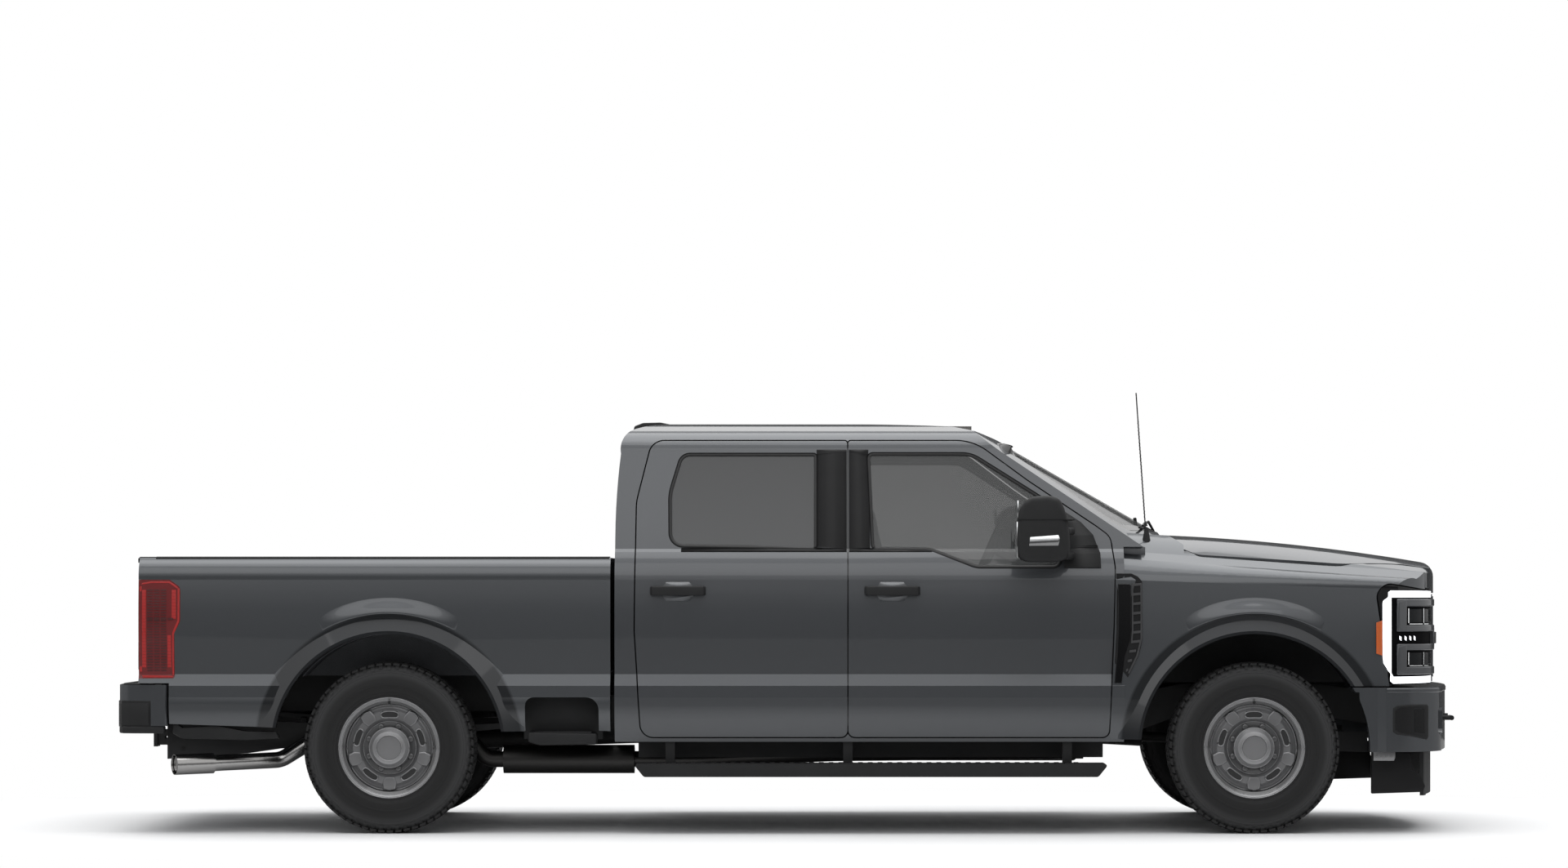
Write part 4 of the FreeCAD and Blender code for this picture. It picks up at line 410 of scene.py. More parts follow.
def studio_card(name, y, dark_to, white_from):
    """A card that only reflections see: dark at the truck's height and white above it."""
    card = bpy.data.materials.new(name)
    card.use_nodes = True
    fade = shades(card, spread(card, along(card, "Z"), 0.0, 1.0, dark_to, white_from),
                  [(0.0, (0.06, 0.06, 0.06)), (1.0, (1, 1, 1))])
    wire(card, node_output(card, "Emission", "Emission", {"Color": fade}), "Surface", "Material Output")
    upright = Matrix.Translation((0, y, 4.8)) @ Matrix.Rotation(math.radians(90), 4, "X")
    item = stage_sheet(name, card, (14, 5.0), upright)
    for kind in ("camera", "diffuse", "transmission", "shadow", "volume_scatter"):
        setattr(item, "visible_" + kind, False)


def shown_white(made, plain, white):
    """Mixes in the white background for camera, glossy and transmission rays."""
    path = made.node_tree.nodes.new("ShaderNodeLightPath").outputs
    seen = node_output(made, "Math", "Value", {0: path["Is Camera Ray"], 1: path["Is Transmission Ray"]},
                       operation="MAXIMUM")
    seen = node_output(made, "Math", "Value", {0: seen, 1: path["Is Glossy Ray"]}, operation="MAXIMUM")
    return node_output(made, "MixShader", "Shader", {"Fac": seen, 1: plain, 2: white})


def set_sky():
    """A soft light from all round, white where the camera sees it."""
    world = bpy.data.worlds.new("studio")
    world.use_nodes = True
    bpy.context.scene.world = world
    plain = world.node_tree.nodes["Background"]
    plain.inputs["Color"].default_value = (0.9, 0.92, 0.95, 1)
    plain.inputs["Strength"].default_value = 0.42
    white = node_output(world, "Background", "Background", {"Color": (1, 1, 1, 1), "Strength": 1.0})
    wire(world, shown_white(world, plain.outputs["Background"], white), "Surface", "World Output")


def set_floor():
    """A floor that takes the truck's shadow and fades into the white background."""
    made = finish("studio_floor", (0.9, 0.9, 0.9), 0.7)
    stage_sheet("floor", made, (60, 60))
    lit = made.node_tree.nodes["Principled BSDF"].outputs["BSDF"]
    reach = node_output(made, "VectorMath", "Value", {0: place(made, (1 / 4.6, 1 / 2.6, 1))},
                        operation="LENGTH")
    glossy = node_output(made, "LightPath", "Is Glossy Ray", {})
    white = node_output(made, "Emission", "Emission", {"Strength": spread(made, glossy, 1.0, 0.3)})
    faded = node_output(made, "MixShader", "Shader", {
        "Fac": spread(made, reach, 0.0, 1.0, 0.75, 1.25), 1: lit, 2: shown_white(made, lit, white)})
    wire(made, faded, "Surface", "Material Output")


set_camera()
area_lamp("top_lamp", (0, 0, 7.5), (0, 0, 0.5), 12, 6, 260)
area_lamp("near_lamp", (-1, -9, 6.0), (0, 0, 0.8), 13, 4.5, 150)
area_lamp("far_lamp", (1, 9, 6.0), (0, 0, 0.8), 13, 4.5, 150)
studio_card("near_card", -11, 1.4, 4.2)
studio_card("far_card", 11, 4.0, 9.0)
sun = linked("even_light", bpy.data.lights.new("even_light", "SUN"))
sun.data.energy = 1.7
sun.data.angle = math.radians(70)
set_sky()
set_floor()
bpy.context.scene.view_settings.view_transform = "Standard"

# Shapes


def fresh(start=None):
    """An empty shape, or a merged copy of a frame node's mesh."""
    shape = bmesh.new()
    if start:
        shape.from_mesh(nodes[start].data)
        bmesh.ops.remove_doubles(shape, verts=shape.verts, dist=1e-5)
    return shape


def made_piece(name, shape, material, sharp=40, body="chassis", slot=None, recalculate=True):
    """Turns a shape into a piece that rides on a body of the frame."""
    if recalculate:
        bmesh.ops.recalc_face_normals(shape, faces=shape.faces)
    mesh = bpy.data.meshes.new(name)
    shape.to_mesh(mesh)
    shape.free()
    mesh.shade_smooth()
    mesh.set_sharp_from_angle(angle=math.radians(sharp))
    item = linked(name, mesh)
    mesh.materials.append(material)
    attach(item, body)
    return item


def rounded(shape, verts, width, segments):
    """Rounds the edges that meet at these corners."""
    edges = list({edge for vert in verts for edge in vert.link_edges})
    bmesh.ops.bevel(shape, geom=edges, offset=width, segments=segments, profile=0.5, affect="EDGES",
                    material=-1)


def add_block(shape, start, stop, bevel=0.0, segments=2):
    """A box between two opposite corners, its edges rounded."""
    low, high = (Vector([pick(pair) for pair in zip(start, stop)]) for pick in (min, max))
    verts = bmesh.ops.create_cube(shape, size=1)["verts"]
    bmesh.ops.scale(shape, vec=high - low, verts=verts)
    bmesh.ops.translate(shape, vec=(low + high) / 2, verts=verts)
    if bevel:
        rounded(shape, verts, bevel, segments)


def add_slab(shape, points, axis, start, stop, bevel=0.0, segments=2, side=1):
    """A flat outline pushed along an axis: y takes xz points, x takes yz points and z takes xy points."""
    spot = {
        "y": lambda a, b, c: Vector((a, c * side, b)),
        "x": lambda a, b, c: Vector((c, a * side, b)),
        "z": lambda a, b, c: Vector((a, b * side, c)),
    }[axis]
    verts = [shape.verts.new(spot(a, b, start)) for a, b in points]
    pushed = bmesh.ops.extrude_face_region(shape, geom=[shape.faces.new(verts)])
    moved = [item for item in pushed["geom"] if isinstance(item, bmesh.types.BMVert)]
    bmesh.ops.translate(shape, vec=spot(0, 0, stop) - spot(0, 0, start), verts=moved)
    if bevel:
        rounded(shape, verts + moved, bevel, segments)


def add_bar(shape, start, stop, radius, sides=12):
    """A round bar between two points."""
    start, stop = Vector(start), Vector(stop)
    way = stop - start
    turn = way.to_track_quat("Z", "Y").to_matrix().to_4x4()
    return bmesh.ops.create_cone(
        shape, cap_ends=True, segments=sides, radius1=radius, radius2=radius, depth=way.length,
        matrix=Matrix.Translation((start + stop) / 2) @ turn,
    )["verts"]


def loft(shape, rings, closed=False, wrapped=True):
    """Joins rings of corners: closed joins the last to the first, and wrapped closes each ring."""
    count = len(rings[0])
    for a, b in list(zip(rings, rings[1:])) + ([(rings[-1], rings[0])] if closed else []):
        for i in range(count if wrapped else count - 1):
            j = (i + 1) % count
            shape.faces.new((a[i], a[j], b[j], b[i]))
    if wrapped and not closed:
        shape.faces.new(rings[0][::-1])
        shape.faces.new(rings[-1])


def add_tube(shape, points, radius, sides=8, closed=False):
    """A round bar that follows points."""
    points = [Vector(point) for point in points]
    count = len(points)
    circle = [Vector((radius * math.cos(math.tau * k / sides), radius * math.sin(math.tau * k / sides), 0))
              for k in range(sides)]
    rings = []
    for i, point in enumerate(points):
        ahead = points[(i + 1) % count] if closed else points[min(i + 1, count - 1)]
        turn = (ahead - points[i - 1 if closed else max(i - 1, 0)]).to_track_quat("Z", "Y")
        rings.append([shape.verts.new(point + turn @ corner) for corner in circle])
    loft(shape, rings, closed)


def add_turned(shape, profile, centre, steps):
    """A profile of (radius, y) points spun about the axle through centre."""
    spots = [shape.verts.new((centre.x, y, centre.z + radius)) for radius, y in profile]
    edges = [shape.edges.new(pair) for pair in zip(spots, spots[1:])]
    bmesh.ops.spin(shape, geom=spots + edges, cent=(centre.x, 0, centre.z), axis=(0, 1, 0), angle=math.tau,
                   steps=steps, use_merge=True)
    bmesh.ops.remove_doubles(shape, verts=shape.verts, dist=1e-6)


def softened(item, width=0.002, segments=2):
    """Rounds a piece's sharp edges."""
    edge = item.modifiers.new("edges", "BEVEL")
    edge.width = width
    edge.segments = segments
    edge.limit_method = "ANGLE"
    edge.angle_limit = math.radians(32)


def walled(item, thick):
    """Gives a skin its thickness, inward."""
    wall = item.modifiers.new("thickness", "SOLIDIFY")
    wall.thickness = thick
    wall.offset = -1


def rect(start, stop, low, high):
    """The corners of an upright rectangle."""
    return [(start, low), (stop, low), (stop, high), (start, high)]


def slab_piece(name, material, *slab, side=1, **kind):
    """A piece made of one pushed outline."""
    shape = fresh()
    add_slab(shape, *slab, side=side)
    return made_piece(name, shape, material, **kind)


def both_sides(make):
    """Makes the left and the right copy of a group of pieces, where their function is defined."""
    for label, side in SIDES.items():
        make(label, side)
    return make


# Trim laid on the frame's panels

TREES = {}


def struck(node, start, way):
    """Where a ray first meets a node of the frame, or nothing."""
    if node not in TREES:
        shape = fresh(node)
        TREES[node] = BVHTree.FromBMesh(shape)
        shape.free()
    return TREES[node].ray_cast(Vector(start), Vector(way))[0]


def skin_y(node, x, z, side):
    """How far out a panel's skin lies at a spot seen from the side."""
    hit = struck(node, (x, 3 * side, z), (0, -side, 0))
    return hit.y if hit else 0.975 * side


def inner_y(node, x, z, side):
    """Where a door's inner skin lies at a spot seen from the cabin."""
    hit = struck(node, (x, 0, z), (0, side, 0))
    return hit.y if hit else 0.9 * side


def top_z(node, x, y):
    """The height of a part's top over a spot."""
    hit = struck(node, (x, y, 3), (0, 0, -1))
    return hit.z if hit else 1.43


def laid_piece(name, material, node, side, outlines, soft=None, deep=0.006):
    """Slabs on a panel's skin; outlines are (xz points, lift)."""
    shape = fresh()
    for points, lift in outlines:
        loft(shape, [[shape.verts.new((x, skin_y(node, x, z, side) + out * side, z)) for x, z in points]
                     for out in (-deep, lift)])
    item = made_piece(name, shape, material, 30 if node == "fenders" else 40)
    if soft:
        softened(item, *soft)


def rim_of(name, material, node, width, facing, threshold, flat_angle, move, body="chassis"):
    """A band inside the edge of a pane's face, moved off the pane."""
    shape = fresh(node)
    away = [face for face in shape.faces if face.normal.dot(Vector(facing)) < threshold]
    bmesh.ops.delete(shape, geom=away, context="FACES")
    bmesh.ops.delete(shape, geom=[vert for vert in shape.verts if not vert.link_faces], context="VERTS")
    bmesh.ops.dissolve_limit(shape, angle_limit=flat_angle, verts=shape.verts, edges=shape.edges)
    ring = bmesh.ops.inset_region(shape, faces=shape.faces[:], thickness=width, use_boundary=True,
                                  use_even_offset=True)
    kept = set(ring["faces"])
    bmesh.ops.delete(shape, geom=[face for face in shape.faces if face not in kept], context="FACES")
    shape.normal_update()
    for vert in shape.verts:
        vert.co += Vector(move)
    return made_piece(name, shape, material, 50, body, recalculate=False)


def keep_inside(shape, points, side):
    """Trims a panel copy to a convex outline of xz points."""
    centre = Vector((sum(p[0] for p in points), 0, sum(p[1] for p in points))) / len(points)
    for here, there in zip(points, points[1:] + points[:1]):
        a, b = Vector((here[0], 0, here[1])), Vector((there[0], 0, there[1]))
        normal = (b - a).cross(Vector((0, 1, 0))).normalized()
        if normal.dot(centre - a) > 0:
            normal = -normal
        everything = shape.verts[:] + shape.edges[:] + shape.faces[:]
        bmesh.ops.bisect_plane(shape, geom=everything, plane_co=a, plane_no=normal, clear_outer=True)
    away = [face for face in shape.faces if face.normal.y * side < 0.25]
    bmesh.ops.delete(shape, geom=away, context="FACES")
    bmesh.ops.delete(shape, geom=[vert for vert in shape.verts if vert.co.y * side < 0], context="VERTS")


def overlay(name, end, label, points, material, lift, thick, sharp, deep):
    """Thin trim that lies on a door's skin inside an xz outline, no nearer to the middle than deep."""
    shape = fresh("door_%s_%s" % (end, label))
    keep_inside(shape, points, SIDES[label])
    bmesh.ops.delete(shape, geom=[vert for vert in shape.verts if abs(vert.co.y) < deep], context="VERTS")
    shape.normal_update()
    for vert, normal in [(vert, vert.normal.copy()) for vert in shape.verts]:
        vert.co += normal * (lift + thick)
    walled(made_piece("%s_%s" % (name, label), shape, material, sharp, door_body(end, label),
                      recalculate=False), thick)


def door_body(end, label):
    """The moving body of one door."""
    return "%s_%s_door" % (end, label)


# Tyres and wheels

TREAD_PITCHES = 62
TREAD_DEPTH = 0.014
TREAD_ROWS = [
    (-0.094, 0.038, 0.015, 0.0, 0.28), (-0.046, 0.04, 0.015, 0.5, -0.35), (0.0, 0.034, 0.0155, 0.0, 0.35),
    (0.046, 0.04, 0.015, 0.5, -0.35), (0.094, 0.038, 0.015, 0.0, 0.28),
]
TYRE_WALL = [
    (0.2165, 0.09), (0.226, 0.1035), (0.24, 0.108), (0.247, 0.1085), (0.25, 0.1125), (0.262, 0.117),
    (0.264, 0.119), (0.292, 0.1222), (0.2935, 0.1234), (0.301, 0.1236), (0.3025, 0.1224), (0.334, 0.1214),
    (0.352, 0.1178), (0.3535, 0.1196), (0.36, 0.1186), (0.3615, 0.116), (0.372, 0.112), (0.385, 0.1035),
    (0.392, 0.088), (0.3925, 0.042), (0.3928, 0.0),
]
SHOULDER_TOP = 0.389
LUGS, LUG_CIRCLE = 8, 0.106
HOLES, HOLE_CIRCLE = 5, 0.156
DISC_RADIUS = 0.158
RIM_RINGS = ((0.2345, 0.0032), (0.2215, 0.002), (0.202, 0.0034), (0.123, 0.0024), (0.093, 0.0034),
             (0.06, 0.0022))
PAD_CORNERS = ((0.14, -0.02), (0.14, 0.02), (0.166, 0.03), (0.196, 0.026), (0.202, 0.0), (0.196, -0.026),
               (0.166, -0.03))


def around(axle, radius, angle, y):
    """A spot at a radius from an axle or another centre; the angle starts at the top."""
    return Vector((axle.x + radius * math.sin(angle), y, axle.z + radius * math.cos(angle)))


def tread_block(shape, axle, size, shift, angle, bend):
    """One rubber block: sized, bent corner by corner, moved out and turned round the axle."""
    verts = bmesh.ops.create_cube(shape, size=1)["verts"]
    bmesh.ops.scale(shape, vec=size, verts=verts)
    for vert in verts:
        vert.co = bend(*vert.co)
    bmesh.ops.translate(shape, vec=shift, verts=verts)
    bmesh.ops.rotate(shape, cent=(0, 0, 0), matrix=Matrix.Rotation(angle, 3, "Y"), verts=verts)
    bmesh.ops.translate(shape, vec=(axle.x, 0, axle.z), verts=verts)


def tyre(wheel, axle, middle, body):
    """A tyre with a ringed wall and a block tread."""
    shape = fresh()
    half = [(radius, middle + y) for radius, y in TYRE_WALL]
    back = [(radius, middle - y) for radius, y in reversed(TYRE_WALL[:-1])]
    add_turned(shape, half + back + half[:1], axle, 72)
    pitch = math.tau / TREAD_PITCHES
    for y, width, length, phase, slant in TREAD_ROWS:
        outer = abs(y) > 0.08

        def lean(a, b, c):
            a += b * slant
            if c > 0:
                a *= 0.93
                if outer and b * y > 0:
                    c -= 0.004
                    b += math.copysign(0.003, y)
            return a, b, c

        for i in range(TREAD_PITCHES):
            height = (0.401 if outer else 0.4018) - TREAD_DEPTH / 2
            tread_block(shape, axle, (length * 2, width, TREAD_DEPTH), (0, middle + y, height),
                        (i + phase) * pitch, lean)
    for side in (-1, 1):
        for i in range(TREAD_PITCHES):
            low = 0.373 if i % 2 else 0.366
            tread_block(shape, axle, (0.017, 0.012, SHOULDER_TOP - low),
                        (0, middle + 0.1115 * side, (SHOULDER_TOP + low) / 2), i * pitch,
                        lambda a, b, c: (a, b - 0.009 * side if c > 0 else b, c))
    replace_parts(made_piece("treaded_tyre_" + wheel, shape, RUBBER, 28, body), "tyre_" + wheel)


def lug_covers(wheel, axle, face_y, side, body):
    """Eight rounded covers over the wheel's nuts."""
    shape = fresh()
    for i in range(LUGS):
        angle = (i + 0.5) * math.tau / LUGS
        foot, tip = (around(axle, LUG_CIRCLE, angle, face_y + out * side) for out in (-0.014, 0.013))
        made = add_bar(shape, foot, tip, 0.0135, 18)
        tips = [edge for edge in {edge for vert in made for edge in vert.link_edges}
                if all((vert.co.y - face_y) * side > 0.012 for vert in edge.verts)]
        bmesh.ops.bevel(shape, geom=tips, offset=0.005, segments=3, profile=0.5, affect="EDGES", material=-1)
    made_piece("lug_covers_" + wheel, shape, STEEL_WHEEL, body=body)


def wheel_face(wheel, axle, side, body):
    """The pressed detail of one wheel's disc, laid on the rim of the frame."""
    def level(radius, angle):
        x, _, z = around(axle, radius, angle, 0)
        return skin_y("rim_" + wheel, x, z, side)

    def ring(shape, spots, y):
        return [shape.verts.new(around(axle, radius, angle, y)) for radius, angle in spots]

    rings, slots, pads, valve = fresh(), fresh(), fresh(), fresh()
    for radius, width in RIM_RINGS:
        y = level(radius, math.radians(36))
        add_tube(rings, [around(axle, radius, i * math.tau / 96, y) for i in range(96)], width, 6, True)
    for i in range(HOLES):
        middle = i * math.tau / HOLES
        oval = []
        for k in range(28):
            cosine, sine = math.cos(k * math.tau / 28), math.sin(k * math.tau / 28)
            across = 0.041 * math.copysign(abs(cosine) ** 0.6, cosine)
            oval.append((HOLE_CIRCLE + 0.0155 * math.copysign(abs(sine) ** 0.7, sine),
                         middle + across / HOLE_CIRCLE))
        y = level(DISC_RADIUS, middle + math.pi / HOLES)
        # Black oval plates on the disc stand for the hand holes: painted shade where the dark behind each
        # hole would show.
        loft(slots, [ring(slots, oval, y + out * side) for out in (-0.0048, 0.0012)])
        add_tube(rings, [around(axle, radius, angle, y + 0.001 * side) for radius, angle in oval],
                 0.0036, 6, True)
    for i in range(HOLES):
        middle = (i + 0.5) * math.tau / HOLES
        y = level(DISC_RADIUS, middle)
        loft(pads, [ring(pads, [(r, middle + w * flare / r) for r, w in PAD_CORNERS], y + out * side)
                    for flare, out in ((1.25, -0.006), (1.0, 0.0045))])
    foot, tip = (around(axle, radius, 0, level(radius, 0) + out * side)
                 for radius, out in ((0.206, -0.004), (0.214, 0.02)))
    add_bar(valve, foot, tip, 0.004, 10)
    add_bar(valve, foot.lerp(tip, 0.6), tip + (tip - foot) * 0.15, 0.0052, 10)
    # The rim rings wear the lighter grey as painted highlights.
    made_piece("rim_rings_" + wheel, rings, WHEEL_EDGE_HIGHLIGHT, 60, body)
    made_piece("hand_hole_shades_" + wheel, slots, SEAL, body=body, slot="wheel_silver")
    softened(made_piece("disc_pads_" + wheel, pads, STEEL_WHEEL, body=body), 0.003, 3)
    made_piece("valve_" + wheel, valve, BLACK, body=body)


for end, axle in AXLES.items():
    for label, side in SIDES.items():
        wheel, body = "%s_%s" % (end, label), "%s_%s_wheel" % (end, label)
        low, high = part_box("tyre_" + wheel)
        tyre(wheel, axle, (low.y + high.y) / 2, body)
        lug_covers(wheel, axle, (low.y + high.y) / 2 + 0.0655 * side, side, body)
        wheel_face(wheel, axle, side, body)

# Doors: seals, covers, mouldings, handles and mirrors

HANDLE_REAR = {"front": 0.339, "rear": -0.666}
HANDLE_Z, CUP_Z = 1.139, 1.136
DOOR_SKIN = 0.984
DOOR_STRIPS = [
    ("pillar_cover_rear", "rear", 0.0025, rect(0.117, 0.259, 1.336, 1.806)),
    ("pillar_cover_front", "front", 0.0025,
     [(0.2695, 1.336), (0.369, 1.336), (0.361, 1.806), (0.2695, 1.806)]),
    ("belt_rear", "rear", 0.003, rect(-0.52, 0.259, 1.322, 1.337)),
    ("belt_front", "front", 0.003, [(0.2695, 1.322), (0.66, 1.322), (0.65, 1.337), (0.2695, 1.337)]),
]


@both_sides
def door_trim(label, side):
    """The window seals, pillar covers, belt mouldings, handles and mirror foot on one side's doors."""
    for end, rear in HANDLE_REAR.items():
        seal = rim_of("window_seal_%s_%s" % (end, label), SEAL, "glass_%s_%s" % (end, label), 0.017,
                      (0, side, 0), 0.5, 0.02, (0, 0.0035 * side, 0), door_body(end, label))
        walled(seal, 0.006)
        slab_piece("handle_%s_%s" % (end, label), BLACK, [
            (rear, DOOR_SKIN), (rear + 0.012, DOOR_SKIN + 0.03), (rear + 0.06, DOOR_SKIN + 0.037),
            (rear + 0.21, DOOR_SKIN + 0.037), (rear + 0.254, DOOR_SKIN + 0.03), (rear + 0.266, DOOR_SKIN),
        ], "z", HANDLE_Z - 0.022, HANDLE_Z + 0.022, 0.007, 3, side=side, body=door_body(end, label))
        overlay("handle_cup_" + end, end, label, [(rear + x, CUP_Z + z) for x, z in (
            (0.078, -0.046), (0.186, -0.046), (0.206, -0.02), (0.206, 0.02), (0.186, 0.044), (0.078, 0.044),
            (0.06, 0.02), (0.06, -0.02))], PAINT, 0.0, 0.0016, 30, 0.94)
    for name, end, thick, outline in DOOR_STRIPS:
        overlay(name, end, label, outline, SATIN, 0.0005, thick, 25, 0.74)
    overlay("mirror_foot", "front", label, [
        (1.279, 1.246), (1.451, 1.246), (1.449, 1.31), (1.417, 1.4), (1.36, 1.46), (1.281, 1.512),
    ], BLACK, 0.002, 0.01, 30, 0.8)


@both_sides
def mirror(label, side):
    """A tow mirror: two-part head, double arm, turn lamp and glass."""
    body = door_body("front", label)
    head, arm, seam, core, pane = fresh(), fresh(), fresh(), fresh(), fresh()
    add_slab(head, [
        (1.06, 1.3), (1.052, 1.38), (1.062, 1.5), (1.082, 1.548), (1.12, 1.574), (1.2, 1.58),
        (1.252, 1.566), (1.28, 1.5), (1.296, 1.4), (1.3, 1.32), (1.286, 1.285), (1.24, 1.272),
        (1.11, 1.272), (1.075, 1.28),
    ], "y", 1.12, 1.34, 0.026, 4, side)
    for vert in head.verts:
        lean = (abs(vert.co.y) - 1.23) / 0.11
        vert.co.x -= 0.016 * max(0, lean) + 0.01 * max(0, -lean)
    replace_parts(made_piece("mirror_head_" + label, head, BLACK, body=body), "mirror_" + label)
    for z in (1.418, 1.302):
        add_slab(arm, [(1.237, 0.955), (1.332, 0.955), (1.312, 1.01), (1.294, 1.135), (1.227, 1.135),
                       (1.232, 1.01)], "z", z - 0.017, z + 0.017, 0.01, 3, side)
    made_piece("mirror_arms_" + label, arm, BLACK, body=body)
    add_block(seam, (1.048, 1.118 * side, 1.4655), (1.306, 1.342 * side, 1.4685))
    made_piece("mirror_seam_" + label, seam, SATIN, body=body)
    slab_piece("mirror_turn_lamp_" + label, REFLECTOR, [
        (1.094, 1.345), (1.1, 1.388), (1.232, 1.398), (1.24, 1.38), (1.232, 1.346),
    ], "y", 1.325, 1.3405, 0.003, side=side, body=body)
    for i in range(5):
        x = 1.106 + i * 0.024
        add_block(core, (x, 1.334 * side, 1.358), (x + 0.018, 1.338 * side, 1.382), 0.002)
    made_piece("mirror_lamp_core_" + label, core, GLOSS, body=body, slot="lamp_clear")
    for x, low, high in ((1.043, 1.478, 1.556), (1.04, 1.292, 1.458)):
        add_slab(pane, rect(1.145, 1.318, low, high), "x", x, x + 0.006, 0.002, side=side)
    made_piece("mirror_panes_" + label, pane, MIRROR_GLASS, body=body)


# The front's plan curves, and bands that follow them


def arc(first, second, third, steps):
    """Points and outward normals along the circle through three points."""
    ax, ay, bx, by, cx, cy = *first, *second, *third
    double = 2 * (ax * (by - cy) + bx * (cy - ay) + cx * (ay - by))
    a, b, c = ax * ax + ay * ay, bx * bx + by * by, cx * cx + cy * cy
    centre = Vector(((a * (by - cy) + b * (cy - ay) + c * (ay - by)) / double,
                     (a * (cx - bx) + b * (ax - cx) + c * (bx - ax)) / double))
    start = math.atan2(ay - centre.y, ax - centre.x)
    stop = math.atan2(cy - centre.y, cx - centre.x)
    radius = (Vector(first) - centre).length
    normals = []
    for i in range(steps + 1):
        angle = start + (stop - start) * i / steps
        normals.append(Vector((math.cos(angle), math.sin(angle))))
    return [(centre + radius * normal, normal) for normal in normals]


def nose_curve(front, corner, middle, edge):
    """Half of a front seen from above: (distance from the middle, point, outward normal)."""
    spots = arc((corner[0], -corner[1]), (front, 0), corner, 80)[41:] + arc(corner, middle, edge, 60)
    run, made = 0.0, []
    for i, (spot, normal) in enumerate(spots):
        if i:
            run += (spot - spots[i - 1][0]).length
        made.append((run, spot, normal))
    return made


LAMP_CURVE = nose_curve(3.12, (3.024, 0.7), (2.97, 0.885), (2.73, 1.000))
BUMPER_CURVE = nose_curve(3.175, (3.079, 0.72), (3.025, 0.89575), (2.785, 1.005))
NOSE_END = 3.1748


def run_at(curve, x=None, y=None):
    """The distance along a front curve where it reaches this x or this y."""
    for run, spot, _ in curve:
        if (x is not None and spot.x <= x) or (y is not None and spot.y >= y):
            return run
    return curve[-1][0]


def nose_spot(curve, run, out):
    """A point on a front curve, moved outward."""
    for here, there in zip(curve, curve[1:]):
        if run <= there[0] or there is curve[-1]:
            share = (run - here[0]) / max(1e-9, there[0] - here[0])
            return here[1].lerp(there[1], share) + here[2].lerp(there[2], share).normalized() * out


def strip(shape, curve, side, stations, out, deep, steps=6):
    """A band that follows a front curve; stations are (run, low, high)."""
    rows = []
    for here, there in zip(stations, stations[1:]):
        for i in range(steps):
            rows.append([a + (b - a) * i / steps for a, b in zip(here, there)])
    rings = []
    for run, low, high in rows + [stations[-1]]:
        far, near = nose_spot(curve, run, out), nose_spot(curve, run, out - deep)
        rings.append([shape.verts.new((p.x, p.y * side, z)) for p, z in
                      ((far, low), (far, high), (near, high), (near, low))])
    loft(shape, rings)


def band_piece(name, material, curve, side, bands, soft=None):
    """A piece made of bands that follow a front curve; bands are (stations, out, deep, steps)."""
    shape = fresh()
    for band in bands:
        strip(shape, curve, side, *band)
    item = made_piece(name, shape, material, 30)
    if soft:
        softened(item, *soft)


# Grille mesh and headlamps

GRILLE_HALF = 0.58
FINE_EDGE = (0.002, 2)


def grille_mesh():
    """A lattice of fine bars behind the grille's frame."""
    shape = fresh()
    bmesh.ops.create_grid(shape, x_segments=44, y_segments=15, size=0.5)
    bmesh.ops.triangulate(shape, faces=shape.faces)
    bmesh.ops.wireframe(shape, faces=shape.faces, thickness=0.006, use_even_offset=True, use_replace=True)
    turn = Matrix.Rotation(math.radians(90), 4, "Z") @ Matrix.Rotation(math.radians(90), 4, "X")
    bmesh.ops.scale(shape, vec=(2 * GRILLE_HALF, 0.36, 1), verts=shape.verts)
    bmesh.ops.transform(shape, matrix=Matrix.Translation((3.02, 0, 0.912)) @ turn, verts=shape.verts)
    for vert in shape.verts:
        vert.co.x -= 0.08 * abs(vert.co.y / GRILLE_HALF) ** 2.6
    made_piece("grille_mesh", shape, SATIN)


grille_mesh()


